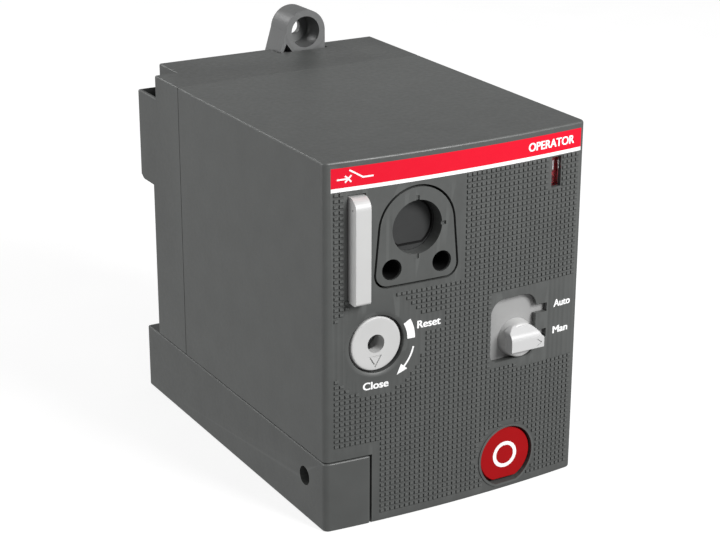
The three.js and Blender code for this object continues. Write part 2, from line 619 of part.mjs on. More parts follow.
function addCarriage() {
  const [low, high] = CARRIAGE_Z;
  const rackBackX = RACK_X + DEDENDUM;
  const bearing = 8; // length of each sliding bearing
  const bearingZs = [[low, low + bearing], [high - bearing, high]];
  const bearings = RODS.flatMap(([, x, y]) => bearingZs.flatMap(([z0, z1]) => [
    rodZ(4.2, z0, z1, x, y),
    box(x, CARRIAGE_X, y - ROD_RADIUS, y + ROD_RADIUS, z0, z1),
  ]));
  const plungerArm = box(CARRIAGE_X - 1, COIL.x + 5, COIL.y - 5, COIL.y + 5, FORK.z, FORK.z + 8);
  const forkArm = box(rackBackX, CARRIAGE_X, 83, 97, FORK.z - 8, FORK.z + 8);
  const carriage = cut(
    join(
      extrudeY(rackOutline(CARRIAGE_X, low, high, KNOB.z), ...GEAR_Y),
      box(rackBackX, CARRIAGE_X, 45.4, 84, low, high),
      ...bearings,
      plungerArm,
      forkArm,
    ),
    ...RODS.map(([, x, y]) => rodZ(ROD_RADIUS + 0.25, low - 1, high + 1, x, y, 16)),
    rodZ(PLUNGER.stud + 0.4, FORK.z - 1, FORK.z + 9, COIL.x, COIL.y, 16),
  );
  add("toggle_carriage", carriage, NYLON);

  const [forkFront, forkBack] = FORK.y;
  const fork = cut(
    box(...FORK.x, ...FORK.y, FORK.z - FORK.half, FORK.z + FORK.half),
    box(
      FORK.x[0] - 1, FORK.x[1] + 1, forkFront + 5.6, forkBack + 1,
      FORK.z - FORK.half + FORK.arm, FORK.z + FORK.half - FORK.arm,
    ),
  );
  const shank = box(46, rackBackX - GAP, 88.5, forkFront + 0.1, FORK.z - 7, FORK.z + 7);
  add("toggle_fork", join(fork, shank), BLACK);
}

// A solenoid between two heights, with its plunger's iron and the thinner stud that the carriage holds.
function addSolenoid(name, z0, z1, ironZ, studZ) {
  const { x, y, radius, bore, flange } = COIL;
  const coil = cut(
    join(
      rodZ(radius, z0, z0 + flange, x, y, 32),
      rodZ(radius, z1 - flange, z1, x, y, 32),
      rodZ(radius - 0.9, z0, z1, x, y, 32),
    ),
    rodZ(bore, z0 - 1, z1 + 1, x, y, 20),
  );
  add(`${name}_coil`, coil, COPPER);
  const endsZ = [z0 - GAP - YOKE.sheet, z1 + GAP + YOKE.sheet];
  const yoke = cut(
    join(
      box(...YOKE.x, ...YOKE.y, endsZ[0], z0 - GAP),
      box(...YOKE.x, ...YOKE.y, z1 + GAP, endsZ[1]),
      box(YOKE.x[1] - YOKE.sheet, YOKE.x[1], ...YOKE.y, ...endsZ),
    ),
    rodZ(bore, endsZ[0] - 1, endsZ[1] + 1, x, y, 20),
  );
  add(`${name}_yoke`, yoke, STEEL);
  const plunger = join(rodZ(PLUNGER.radius, ...ironZ, x, y, 20), rodZ(PLUNGER.stud, ...studZ, x, y, 12));
  add(`${name}_plunger`, plunger, STEEL);
}

// The selector's round dome, grown outwards to cut the handle free of it.
function selectorDome(grow) {
  const { x, z, radius } = SELECTOR;
  const rings = [[0, -3.5], [3.2, -3.4], [4.6, -3], [5.3, -2.2], [radius, -0.2]];
  const crown = rings.map(([r, y]) => [r && r + grow, y - grow]);
  const rear = 1.2 + grow;
  return turnedY([...crown, [radius + grow, rear], [0, rear]], x, z, 28);
}

function addSelector() {
  const { x, z, travel, shank, faceY, backY } = SELECTOR;
  const plateX = SELECTOR_PLATE.x;
  const plateZ = SELECTOR_PLATE.z;
  const skirt = join(
    selectorDome(0),
    box(...plateX, faceY, backY, ...plateZ),
    box(x - shank, x + shank, backY - 0.2, 10, z - 2, z + 2),
  );
  add("selector_skirt", skirt, PALE_GREY);

  const { x: [left, right], lowZ, faceTopZ, topZ, backY: handleBack } = HANDLE;
  const hood = [
    [left, lowZ], [right, lowZ], [right, faceTopZ - 0.1], [71.1, 53.3], [68.3, 54.9],
    [65.1, 54.9], [62.9, 53.9], [left, 52.4],
  ];
  const slope = [
    [FRONT_MOST_Y - 1, faceTopZ], [FRONT_MOST_Y, faceTopZ], [handleBack, topZ], [handleBack, topZ + 5],
    [FRONT_MOST_Y - 1, topZ + 5],
  ];
  const block = extrudeY(hood, FRONT_MOST_Y, handleBack);
  add("selector_handle", cut(block, extrudeX(slope, left - 1, right + 1), selectorDome(GAP)), WHITE);

  const guideY = [3, 4.8];
  const guide = cut(
    box(plateX[0] - 1, plateX[1] + 1, ...guideY, plateZ[0] - 0.8, plateZ[1] + travel + 0.6),
    box(x - shank - 0.6, x + shank + 0.6, 2, 6, z - 2.6, z + 2.6 + travel),
  );
  add("selector_guide", guide, BLACK);
  const clipY = [guideY[1] + 0.4, guideY[1] + 1.4];
  const clip = cut(
    box(x - 5.9, x + 5.9, ...clipY, z - 4.6, z + 4.6),
    box(x - shank - GAP, x + shank + GAP, clipY[0] - 1, clipY[1] + 1, z - 2.3, z + 2.3),
  );
  add("selector_clip", clip, STEEL);
  const switchZ = [z + 13.4, z + 23];
  const switchBody = box(60, 75, 7.4, 13, ...switchZ);
  add("selector_switch", join(switchBody, rodZ(1.1, switchZ[0] - 2.4, switchZ[0] + 0.5, x, 8.8, 12)), BLACK);
}

function addTripButton() {
  const { x, z, radius, flatZ, faceY } = BUTTON;
  const flangeY = [1.1, 2.6];
  const capRearY = 8;
  const cap = join(
    extrudeY(flatCircle(x, z, radius, flatZ), faceY, capRearY),
    extrudeY(flatCircle(x, z, radius + 1.5, flatZ - 0.6), ...flangeY),
  );
  add("trip_button", cut(cap, rodY(6, 3, capRearY + 1, x, z, 24)), RED);
  const headY = [3.4, 5];
  add("trip_rod", join(rodY(1.9, headY[0], REAR_Y - 1, x, z, 16), rodY(5.2, ...headY, x, z, 20)), STEEL);
  const guideY = [24, 26];
  add("rod_guide", cut(box(50, 77, ...guideY, 2.6, 18.6), rodY(ROD_HOLE, 20, 30, x, z, 16)), BLACK);
  add("trip_spring", helix(3.6, 0.45, 5, capRearY - 1.9, guideY[0] - 0.8).translate([x, 0, z]), STEEL);
}

// A wire wound round the y axis between two places along it.
function helix(radius, wire, turns, y0, y1) {
  const perTurn = 10;
  const steps = turns * perTurn;
  const path = Array.from({ length: steps + 1 }, (_, i) => {
    const angle = (2 * Math.PI * i) / perTurn;
    const along = y0 + ((y1 - y0) * i) / steps;
    return new THREE.Vector3(radius * Math.cos(angle), along, radius * Math.sin(angle));
  });
  const section = shapeOf(arc(0, 0, wire, 0, 360, 5).slice(0, -1));
  const extrudePath = new THREE.CatmullRomCurve3(path);
  return solid(new THREE.ExtrudeGeometry(section, { steps, extrudePath }));
}

function addIndicator() {
  const inset = 0.3;
  const lensX = [WINDOW.x0 + inset, WINDOW.x1 - inset];
  const lensZ = [WINDOW.z0 + inset, WINDOW.z1 - inset];
  add("window_lens", frontSheet(...lensX, ...lensZ, 1.1, 1.8), CLEAR);
  const armZ = 84;
  const flag = join(
    box(...FLAG.x, ...FLAG.y, ...FLAG.z),
    box(FLAG.armX, FLAG.x[1] - 0.2, ...FLAG.y, armZ, FLAG.z[0] + 1),
  );
  add("status_flag", flag, RED);
  const backY = [FLAG.y[1] + 0.6, FLAG.y[1] + 1.3];
  add("flag_backplate", box(FLAG.x[0] - 0.8, FLAG.x[1] + 0.8, ...backY, 95.2, 109), GREEN);
  const strip = 1.2;
  const bendY = [14, 14 + strip];
  const rootX = [50.4, 50.4 + strip];
  const tipX = [80.2, 80.2 + strip];
  const stripZ = [armZ - 2, armZ + 2];
  const link = join(
    box(...rootX, bendY[0], 45.1, ...stripZ),
    box(rootX[0], tipX[1], ...bendY, ...stripZ),
    box(...tipX, FLAG.y[1] + GAP, bendY[1], ...stripZ),
  );
  add("flag_link", link, STEEL);
}

function addElectronics() {
  const boardX = [84, 85.6];
  const partX = boardX[0] - GAP;
  add("circuit_board", box(...boardX, 17, 40, 26, 92), BOARD);
  add("board_relay", box(71, partX, 19, 37, 34, 50), BLACK);
  add("board_capacitor", rodX(6.5, 62, partX, 28, 66, 24), BLACK);
}

// A limit switch above or below the carriage's end, with its plunger towards it.
function addLimitSwitch(name, z0, plungerZ) {
  const body = box(25, 43, 66, 72, z0, z0 + 9);
  add(name, join(body, rodZ(1.1, ...plungerZ, 40, 69, 12)), BLACK);
}

addFrontCover();
addRearHousing();
addMountingFrame();
addWiringCover();
addTerminals();
addNameBand();
addLock();
addPadlockSlide();
addKnob();
addGearTrain();
addChassis();
addCarriage();
addSolenoid("close", 81.4, 105.6, [78.4, 107.5], [74.2, 79]);
addSolenoid("reset", 24, 45.4, [30, 69.6], [69, 73.8]);
addSelector();
addTripButton();
addIndicator();
addElectronics();
addLimitSwitch("upper_limit_switch", 96, [93.6, 96.5]);
addLimitSwitch("lower_limit_switch", 23, [31.5, 34.4]);

export default part;
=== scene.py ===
# Looks of the circuit breaker's remote operator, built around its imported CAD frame.
#
# Shapes are drawn in millimetres from the front lower left corner of the case (x right, y back, z up)
# and are set into the frame, in metres, by place().
import math

import bmesh
import bpy
from mathutils import Matrix, Vector


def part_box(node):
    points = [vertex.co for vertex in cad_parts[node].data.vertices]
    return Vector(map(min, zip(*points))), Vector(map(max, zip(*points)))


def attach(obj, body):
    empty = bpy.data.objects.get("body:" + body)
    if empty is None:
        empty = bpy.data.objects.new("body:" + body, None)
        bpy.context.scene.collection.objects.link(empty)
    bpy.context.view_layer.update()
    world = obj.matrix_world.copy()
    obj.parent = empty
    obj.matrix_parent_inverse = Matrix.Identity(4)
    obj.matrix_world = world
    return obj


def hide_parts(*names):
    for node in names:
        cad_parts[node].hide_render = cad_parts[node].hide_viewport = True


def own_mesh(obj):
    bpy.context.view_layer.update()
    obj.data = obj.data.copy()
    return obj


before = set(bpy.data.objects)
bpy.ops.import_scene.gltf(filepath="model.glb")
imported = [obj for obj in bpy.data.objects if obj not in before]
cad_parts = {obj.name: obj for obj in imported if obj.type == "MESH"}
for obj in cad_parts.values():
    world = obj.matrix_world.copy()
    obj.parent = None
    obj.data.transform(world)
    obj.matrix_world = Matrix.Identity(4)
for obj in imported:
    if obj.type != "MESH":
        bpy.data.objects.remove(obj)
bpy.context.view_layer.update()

# ---- Driving dimensions, in millimetres ---------------------------------------------------------
MM = 0.001
BULGE = 2.4  # how far the front bows out at its middle
cover_low, cover_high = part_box("front_cover")
CORNER = Vector((cover_low.x, cover_low.y + BULGE * MM, cover_low.z))
WIDTH = (cover_high.x - cover_low.x) / MM
HEIGHT = (cover_high.z - cover_low.z) / MM


def cad(node):
    """The x, y and z limits of a CAD node, in millimetres from the corner of the case."""
    low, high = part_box(node)
    return [((a - c) / MM, (b - c) / MM) for a, b, c in zip(low, high, CORNER)]


WALL = 2.2
GAP = 0.3
UPRIGHT_RADIUS = 2.0  # upright front edges
EDGE_RADIUS = 0.8  # top and bottom edges of the shells
SEAM_Y = cad("rear_housing")[1][0]
COVER_REAR_Y = cad("front_cover")[1][1]
REAR_Y = cad("rear_housing")[1][1]
SIDE_BACK_Y = 118.0
SKIRT_Z = (76.2, 107.2)
NOTCH = (8.0, 113.8)
POCKET_SKIN, POCKET_DEPTH = 1.0, 4.4  # pocket moulded into the top of the left flange
WIRING_X, WIRING_Y, WIRING_Z = cad("wiring_cover")
CORNER_GAP = 0.5  # between it and the case
SCREW_Y = sum(cad("wiring_cover_screw")[1]) / 2
SCREW_Z = sum(cad("wiring_cover_screw")[2]) / 2
SCREW_BORE, SCREW_HOLE, SCREW_SEAT_X = 3.0, 1.9, 10.9
BAND_X, _, BAND_Z = cad("name_band")
LINE_X, _, LINE_Z = cad("band_underline")
BAND_DEPTH = 0.4
KNOB_X = sum(cad("reset_knob")[0]) / 2
KNOB_Z = sum(cad("reset_knob")[2]) / 2
KNOB_FACE_Y = cad("reset_knob")[1][0]
KNOB_RADIUS = 8.4
KNOB_HOLE = 9.0
LOCK_X, LOCK_Z = 29.8, 92.0
LOCK_HOLE = 8.2
LOCK_CLEARANCE, LOCK_OPENING = 0.25, 0.45  # the plate is smaller and its opening larger than the outline
LOCK_DEPTH = cad("lock_plate")[1][1]
RECESS_RADIUS, RECESS_FLAT = 7.9, 6.7  # the D behind the lock's hole, and its flat below the centre
LOCK_SCREW_X, LOCK_SCREW_Z, LOCK_SCREW_HOLE = 8.3, 80.3, 3.2
SLIDE_X, SLIDE_Y, SLIDE_Z = cad("padlock_slide")
SLIDE_STOP = 1.6  # how far the stop at its rear end stands out above and below
SLIDE_Z = (SLIDE_Z[0] + SLIDE_STOP, SLIDE_Z[1] - SLIDE_STOP)
PADLOCK_HOLE, PADLOCK_HOLE_Y, PADLOCK_HOLE_Z = 3.5, 9, (81, 95.5)
SELECTOR_X, SELECTOR_Z = 66.9, 49.6
SELECTOR_BAY_X, SELECTOR_BAY_Z = (53.5, 79.5), (33.5, 75.5)  # behind the front, where its plate slides
BUTTON_X = sum(cad("trip_button")[0]) / 2
BUTTON_Z = 11.3
BUTTON_FACE_Y = cad("trip_button")[1][0]
BUTTON_HOLE, BUTTON_RADIUS = 9.8, 9.1
BUTTON_HOLE_FLAT = 2.3  # height of the flat at the foot of its hole
WINDOW_X, WINDOW_Z = (77.3, 80.9), (96.1, 105.6)
EAR_X, EAR_Z, EAR_RADIUS = 60.6, 121.0, 7.6
EAR_Y = (121.8, cad("mounting_frame")[1][1])
EAR_FOOT_X, EAR_FOOT_Z = (50.1, 68.2), 112
EAR_BORE, EAR_HOLE = 5.4, 2.7  # counterbore and through hole for its screw
PLATE_Y = (114.3, 117.8)  # the mounting frame's plate
TOGGLE_SLOT_X, TOGGLE_SLOT_Z = (30, 60), (32, 86)
POST_HOLE = 1.9
ROD_HOLE = 2.4
BEYOND = 5  # how far a cutting tool reaches past what it cuts


# ---- Camera: azimuth, elevation and roll in degrees, lens and place in millimetres --------------
CAMERA_ANGLES = (-30.092, 20.248, 0.122)
CAMERA_LENS = 92.14
CAMERA_STAND = (-235.888, -427.629, 263.773)


# ---- Outlines -----------------------------------------------------------------------------------
def arc(cx, cz, radius, start, end, steps):
    """Points of an arc from start to end, in degrees."""
    angles = [math.radians(start + (end - start) * i / steps) for i in range(steps + 1)]
    return [(cx + radius * math.cos(a), cz + radius * math.sin(a)) for a in angles]


def circle(cx, cz, radius, steps=96):
    return arc(cx, cz, radius, 0, 360, steps)[:-1]


def flat_circle(cx, cz, radius, flat_z, steps=128):
    """A circle cut off straight below flat_z."""
    start = math.degrees(math.asin((flat_z - cz) / radius))
    return arc(cx, cz, radius, start, 180 - start, steps)


def front_y(x):
    across = (x - WIDTH / 2) / (WIDTH / 2)
    return -BULGE * (1 - across * across)


def plan(inset, rear_y, steps=44):
    """The case seen from above, set in from its outer face on the front and the sides."""
    radius = max(UPRIGHT_RADIUS - inset, 0.5)
    left = inset + radius
    right = WIDTH - left
    corner_y = front_y(left) + inset + radius
    bow = [left + (right - left) * i / steps for i in range(1, steps)]
    return [
        (inset, rear_y),
        *arc(left, corner_y, radius, 180, 270, 8),
        *[(x, front_y(x) + inset) for x in bow],
        *arc(right, corner_y, radius, 270, 360, 8),
        (WIDTH - inset, rear_y),
    ]


def lock_outline(grow):
    """The lock plate: a round head and two round lower corners, joined by straight flanks."""
    head, foot = 12.4 + grow, 4 + grow
    foot_x, foot_z = 9.6, 79.2
    lean = math.degrees(math.asin((foot_x + foot - head) / (LOCK_Z - foot_z)))
    return [
        *arc(LOCK_X, LOCK_Z, head, lean, 180 - lean, 48),
        *arc(LOCK_X - foot_x, foot_z, foot, 180 - lean, 270, 12),
        *arc(LOCK_X + foot_x, foot_z, foot, 270, 360 + lean, 12),
    ]


def selector_outline():
    """The selector's window, with one notch for each position on its right."""
    return [
        *arc(59.1, 46.6, 3, 180, 270, 10),
        (69.6, 43.6),
        *arc(69.2, 47.4, 3.8, -85, -5, 10),
        (73.2, 48.2),
        (77.4, 48.2),
        (77.4, 50.9),
        (73.2, 50.9),
        (73.2, 56.5),
        (77.4, 56.5),
        (77.4, 59.3),
        (73.3, 59.6),
        *arc(68.6, 59.2, 4.7, 15, 90, 12),
        *arc(61.1, 58.9, 5, 90, 180, 14),
    ]


# ---- Solids -------------------------------------------------------------------------------------
TO_XYZ = {
    "x": lambda u, v, w: (w, u, v),
    "y": lambda u, v, w: (u, w, v),
    "z": lambda u, v, w: (u, v, w),
}


def make(bm, name="tool"):
    """An object that holds the bmesh, which is used up."""
    bmesh.ops.recalc_face_normals(bm, faces=bm.faces)
    mesh = bpy.data.meshes.new(name)
    bm.to_mesh(mesh)
    bm.free()
    obj = bpy.data.objects.new(name, mesh)
    bpy.context.scene.collection.objects.link(obj)
    return obj


def prism(outline, axis, low, high):
    """An outline carried along an axis. It is in (y, z) for x, in (x, z) for y and in (x, y) for z."""
    bm = bmesh.new()
    ends = [[bm.verts.new(TO_XYZ[axis](u, v, w)) for u, v in outline] for w in (low, high)]
    for i in range(len(outline)):
        bm.faces.new((ends[0][i - 1], ends[0][i], ends[1][i], ends[1][i - 1]))
    for end in ends:
        bm.faces.new(end)
    return make(bm)


def box(x0, x1, y0, y1, z0, z1):
    return prism([(x0, y0), (x1, y0), (x1, y1), (x0, y1)], "z", z0, z1)


def rod(axis, radius, low, high, u, v, steps=64):
    return prism(circle(u, v, radius, steps), axis, low, high)


def turned(profile, x, z, steps=128):
    """A piece turned about a line along y. Its profile, in (radius, y), starts and ends on the line."""
    bm = bmesh.new()
    rings = []
    for radius, y in profile:
        points = circle(x, z, radius, steps) if radius else [(x, z)]
        rings.append([bm.verts.new((px, y, pz)) for px, pz in points])
    for near, far in zip(rings, rings[1:]):
        for i in range(steps):
            corners = [near[i - 1 if len(near) > 1 else 0], near[i if len(near) > 1 else 0],
                       far[i if len(far) > 1 else 0], far[i - 1 if len(far) > 1 else 0]]
            bm.faces.new(list(dict.fromkeys(corners)))
    return make(bm)


def bowed(obj):
    """Moves a shape drawn on a flat front at y = 0 onto the bowed front."""
    for vertex in obj.data.vertices:
        vertex.co.y += front_y(vertex.co.x)
    return obj


def bake(obj):
    """Turns an object's modifiers into its mesh."""
    graph = bpy.context.evaluated_depsgraph_get()
    mesh = bpy.data.meshes.new_from_object(obj.evaluated_get(graph))
    obj.modifiers.clear()
    obj.data = mesh
    return obj


def combine(operation, base, *tools):
    for tool in tools:
        modifier = base.modifiers.new("combine", "BOOLEAN")
        modifier.operation = operation
        modifier.solver = "MANIFOLD"
        modifier.object = tool
    bake(base)
    for tool in tools:
        bpy.data.objects.remove(tool)
    return base


def join(base, *tools):
    return combine("UNION", base, *tools)


def cut(base, *tools):
    return combine("DIFFERENCE", base, *tools)


def common(base, tool):
    return combine("INTERSECT", base, tool)


def soften(obj, width, segments=2):
    """Rounds every edge that turns by more than 30 degrees."""
    modifier = obj.modifiers.new("soften", "BEVEL")
    modifier.width = width
    modifier.segments = segments
    modifier.limit_method = "ANGLE"
    modifier.angle_limit = math.radians(30)
    return bake(obj)


def place(obj, name, body, slot, *nodes, smooth=34, look=None):
    """Sets a finished shape into the frame as a named piece on a body, in place of its CAD nodes.

    The look is the material it wears, where that is not the slot's usual one; the looks used are darker
    copies with shade painted in.
    """
    obj.name = name
    obj.data.name = name
    obj.data.transform(Matrix.Translation(CORNER) @ Matrix.Scale(MM, 4))
    obj.data.shade_smooth()
    obj.data.set_sharp_from_angle(angle=math.radians(smooth))
    normals = obj.modifiers.new("normals", "WEIGHTED_NORMAL")
    normals.keep_sharp = True
    obj.data.materials.clear()
    obj.data.materials.append(MATERIALS[look or slot])
    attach(obj, body)
    if nodes:
        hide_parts(*nodes)
    return obj


# ---- Materials ----------------------------------------------------------------------------------
class Graph:
    """Short names for the nodes of one material."""

    def __init__(self, name):
        self.material = bpy.data.materials.new(name)
        self.material.use_nodes = True
        self.tree = self.material.node_tree
        self.shader = self.tree.nodes["Principled BSDF"]
        self.place = self.node("ShaderNodeTexCoord").outputs["Object"]

    def node(self, kind, **settings):
        made = self.tree.nodes.new(kind)
        for key, value in settings.items():
            if key in made.inputs:
                made.inputs[key].default_value = value
            else:
                setattr(made, key, value)
        return made

    def link(self, source, target):
        self.tree.links.new(source, target)

    def noise(self, size_mm, detail=2.0, rough=0.5):
        """Noise with lumps of about that size."""
        made = self.node("ShaderNodeTexNoise", Scale=1 / (size_mm * MM), Detail=detail, Roughness=rough)
        self.link(self.place, made.inputs["Vector"])
        return made.outputs["Fac"]

    def spread(self, value, low, high):
        """A value of 0.3 to 0.7, as noise has, spread from low to high."""
        made = self.node("ShaderNodeMapRange")
        for key, number in (("From Min", 0.3), ("From Max", 0.7), ("To Min", low), ("To Max", high)):
            made.inputs[key].default_value = number
        self.link(value, made.inputs["Value"])
        return made.outputs["Result"]

    def mix(self, share, first, second):
        made = self.node("ShaderNodeMix", data_type="RGBA")
        self.link(share, made.inputs[0])
        for socket, colour in ((made.inputs[6], first), (made.inputs[7], second)):
            if isinstance(colour, tuple):
                socket.default_value = (*colour, 1)
            else:
                self.link(colour, socket)
        return made.outputs[2]

    def bump(self, height, depth_mm, strength=1.0, under=None):
        made = self.node("ShaderNodeBump", Strength=strength, Distance=depth_mm * MM)
        self.link(height, made.inputs["Height"])
        if under is not None:
            self.link(under, made.inputs["Normal"])
        return made.outputs["Normal"]


def scaled(colour, factor):
    return tuple(min(channel * factor, 1) for channel in colour)


def plastic(name, colour, roughness, grain_mm=0.22, grain_depth=0.012, mottle=0.06, edge_wear_and_highlight=0.0, gloss=0.5):
    """Moulded plastic: fine spark-eroded grain, slight mottling, and edges a little paler, as rubbed wear
    and as a painted highlight.
    """
    graph = Graph(name)
    graph.shader.inputs["Specular IOR Level"].default_value = gloss
    cloud = graph.spread(graph.noise(9, 3), 0, 1)
    tone = graph.mix(cloud, scaled(colour, 1 - mottle), scaled(colour, 1 + mottle))
    # Paler where the mesh is pointy: edge wear, and a painted highlight along rounded edges.
    if edge_wear_and_highlight:
        edge = graph.node("ShaderNodeMapRange")
        for key, number in (("From Min", 0.51), ("From Max", 0.6), ("To Min", 0), ("To Max", edge_wear_and_highlight)):
            edge.inputs[key].default_value = number
        graph.link(graph.node("ShaderNodeNewGeometry").outputs["Pointiness"], edge.inputs["Value"])
        tone = graph.mix(edge.outputs["Result"], tone, scaled(colour, 1.9))
    graph.link(tone, graph.shader.inputs["Base Color"])
    rough = graph.spread(graph.noise(1.6, 2), roughness - 0.05, roughness + 0.05)
    graph.link(rough, graph.shader.inputs["Roughness"])
    grain = graph.bump(graph.noise(grain_mm, 2), grain_depth)
    graph.link(grain, graph.shader.inputs["Normal"])
    graph.shader.inputs["IOR"].default_value = 1.5
    return graph.material


def metal(name, colour, roughness, stretch=(1, 1, 14)):
    """Drawn or rolled metal: fine lines along it, and a cloudy sheen."""
    graph = Graph(name)
    mapping = graph.node("ShaderNodeMapping")
    mapping.inputs["Scale"].default_value = [1 / s for s in stretch]
    graph.link(graph.place, mapping.inputs["Vector"])
    lines = graph.node("ShaderNodeTexNoise", Scale=1 / (0.18 * MM), Detail=3.0)
    graph.link(mapping.outputs["Vector"], lines.inputs["Vector"])
    cloud = graph.spread(graph.noise(5, 3), 0, 1)
    tone = graph.mix(cloud, scaled(colour, 0.86), scaled(colour, 1.05))
    graph.link(tone, graph.shader.inputs["Base Color"])
    rough = graph.spread(lines.outputs["Fac"], roughness - 0.08, roughness + 0.1)
    graph.link(rough, graph.shader.inputs["Roughness"])
    graph.link(graph.bump(lines.outputs["Fac"], 0.006), graph.shader.inputs["Normal"])
    graph.shader.inputs["Metallic"].default_value = 1
    return graph.material


def film(name, colour, roughness, gloss=0.3):
    """Printed film: smooth, with a faint screen in the ink and a slight orange peel."""
    graph = Graph(name)
    graph.shader.inputs["Specular IOR Level"].default_value = gloss
    ink = graph.spread(graph.noise(0.35, 2), 0, 1)
    graph.link(graph.mix(ink, scaled(colour, 0.97), scaled(colour, 1.02)), graph.shader.inputs["Base Color"])
    rough = graph.spread(graph.noise(2.5), roughness - 0.04, roughness + 0.06)
    graph.link(rough, graph.shader.inputs["Roughness"])
    graph.link(graph.bump(graph.noise(1.2), 0.004), graph.shader.inputs["Normal"])
    return graph.material


def winding(name, colour):
    """Enamelled wire laid turn by turn along z."""
    graph = Graph(name)
    turns = graph.node("ShaderNodeTexWave", Scale=1 / (0.9 * MM), Distortion=0.4, bands_direction="Z")
    graph.link(graph.place, turns.inputs["Vector"])
    shade = graph.mix(turns.outputs["Fac"], scaled(colour, 0.45), scaled(colour, 1.1))
    graph.link(shade, graph.shader.inputs["Base Color"])
    graph.link(graph.spread(graph.noise(2), 0.22, 0.4), graph.shader.inputs["Roughness"])
    graph.link(graph.bump(turns.outputs["Fac"], 0.12), graph.shader.inputs["Normal"])
    graph.shader.inputs["Metallic"].default_value = 0.8
    return graph.material


def circuit_board(name, colour):
    """Solder resist over a maze of slightly raised, paler tracks."""
    graph = Graph(name)
    cells = graph.node("ShaderNodeTexVoronoi", Scale=1 / (3.2 * MM), distance="MANHATTAN", feature="F2")
    graph.link(graph.place, cells.inputs["Vector"])
    track = graph.node("ShaderNodeMath", operation="PINGPONG")
    track.inputs[1].default_value = 0.16
    graph.link(cells.outputs["Distance"], track.inputs[0])
    share = graph.node("ShaderNodeMapRange")
    for key, number in (("From Min", 0.09), ("From Max", 0.11), ("To Min", 0), ("To Max", 1)):
        share.inputs[key].default_value = number
    graph.link(track.outputs["Value"], share.inputs["Value"])
    tone = graph.mix(share.outputs["Result"], colour, scaled(colour, 1.7))
    graph.link(tone, graph.shader.inputs["Base Color"])
    graph.link(graph.spread(graph.noise(1.5), 0.25, 0.4), graph.shader.inputs["Roughness"])
    graph.link(graph.bump(share.outputs["Result"], 0.03), graph.shader.inputs["Normal"])
    return graph.material


def clear_pane(name):
    """Clear polycarbonate with a faint haze."""
    graph = Graph(name)
    tint = graph.mix(graph.spread(graph.noise(3), 0, 1), (0.93, 0.95, 0.96), (1, 1, 1))
    graph.link(tint, graph.shader.inputs["Base Color"])
    graph.link(graph.spread(graph.noise(1.1), 0.02, 0.09), graph.shader.inputs["Roughness"])
    graph.shader.inputs["Transmission Weight"].default_value = 1
    graph.shader.inputs["IOR"].default_value = 1.2
    return graph.material


# Two darker copies of the case and pale plastics are painted shade, for the floors of openings.
MATERIALS = {
    "case": plastic("case_plastic", (0.074, 0.077, 0.075), 0.42, edge_wear_and_highlight=0.35),
    "case_painted_shade": plastic("case_plastic_painted_shade", (0.036, 0.037, 0.037), 0.5, gloss=0.3),
    "frame": plastic("frame_plastic", (0.120, 0.122, 0.122), 0.42, edge_wear_and_highlight=0.2),
    "pale": plastic("pale_plastic", (0.53, 0.53, 0.526), 0.38, grain_depth=0.004, mottle=0.02),
    "pale_painted_shade": plastic("pale_plastic_painted_shade", (0.32, 0.32, 0.318), 0.42, grain_depth=0.006, mottle=0.03),
    "white": plastic("white_plastic", (0.55, 0.55, 0.55), 0.34, grain_depth=0.003, mottle=0.01),
    "red": plastic("red_plastic", (0.34, 0.004, 0.006), 0.4, grain_depth=0.003, mottle=0.04, gloss=0.15),
    # The flag's look is a darker copy of the red plastic: painted shade behind the window.
    "flag": plastic("red_plastic_painted_shade", (0.16, 0.003, 0.006), 0.4, grain_depth=0.003, gloss=0.2),
    "band": film("band_print", (0.71, 0.009, 0.028), 0.4, gloss=0.12),
    "line": film("white_print", (0.93, 0.93, 0.93), 0.4),
    "black": plastic("black_plastic", (0.006, 0.006, 0.006), 0.6, mottle=0.15, gloss=0.2),
    "nylon": plastic("natural_nylon", (0.70, 0.66, 0.55), 0.42, mottle=0.04),
    "steel": metal("zinc_steel", (0.62, 0.63, 0.65), 0.34),
    "brass": metal("brass", (0.70, 0.48, 0.20), 0.3),
    "winding": winding("copper_wire", (0.55, 0.20, 0.07)),
    "green": film("green_print", (0.03, 0.30, 0.07), 0.4),
    "board": circuit_board("board_resist", (0.012, 0.11, 0.04)),
    "lens": clear_pane("clear_pane"),
}


# ---- The bump grid on the front -----------------------------------------------------------------
BUMP_PITCH = (1.665, 1.723)
BUMP_START = (46.2, 69.75)  # lower left corner of one cell
BUMP_GROOVE = 0.21  # half the flat left between two bumps
BUMP_FLANK = 0.06
BUMP_UNDERSIDE = 0.46  # the flank below leans more
BUMP_HEIGHT = 0.42
BUMP_ROOT = 0.4  # how far a bump reaches into the wall
BUMP_FOOT = -0.05  # its flanks start to lean just under the surface
FIELD_X, FIELD_Z = (2.5, 87.6), (2.5, 105.2)


def textured(x, z):
    """Whether the front has a bump centred at this place."""
    if not (FIELD_X[0] < x < FIELD_X[1] and FIELD_Z[0] < z < FIELD_Z[1]):
        return False
    from_knob = math.hypot(x - KNOB_X, z - KNOB_Z)
    from_button = math.hypot(x - BUTTON_X, z - BUTTON_Z)
    margin = 0.6
    smooth_zones = (
        5.7 < x < 45.6 and z > 73.3,  # round the slide and the lock
        from_knob < 15.8,
        KNOB_X < x < 39.4 and 59.6 < z < 64.9,  # under the word Reset
        KNOB_X < x < 32.5 and 52 < z < 60,  # between the knob and that word
        56 < x and 42.6 < z < 66.2,  # round the selector and its words
        67 < x and 40.2 < z < 66.2,
        x < 18 and z < 26.8,  # the wiring cover
        from_button < BUTTON_HOLE + 1.6,
        abs(x - BUTTON_X) < 7 and z < BUTTON_Z,  # below the button
        WINDOW_X[0] - margin < x < WINDOW_X[1] + margin and z > WINDOW_Z[0] - margin,
    )
    return not any(smooth_zones)


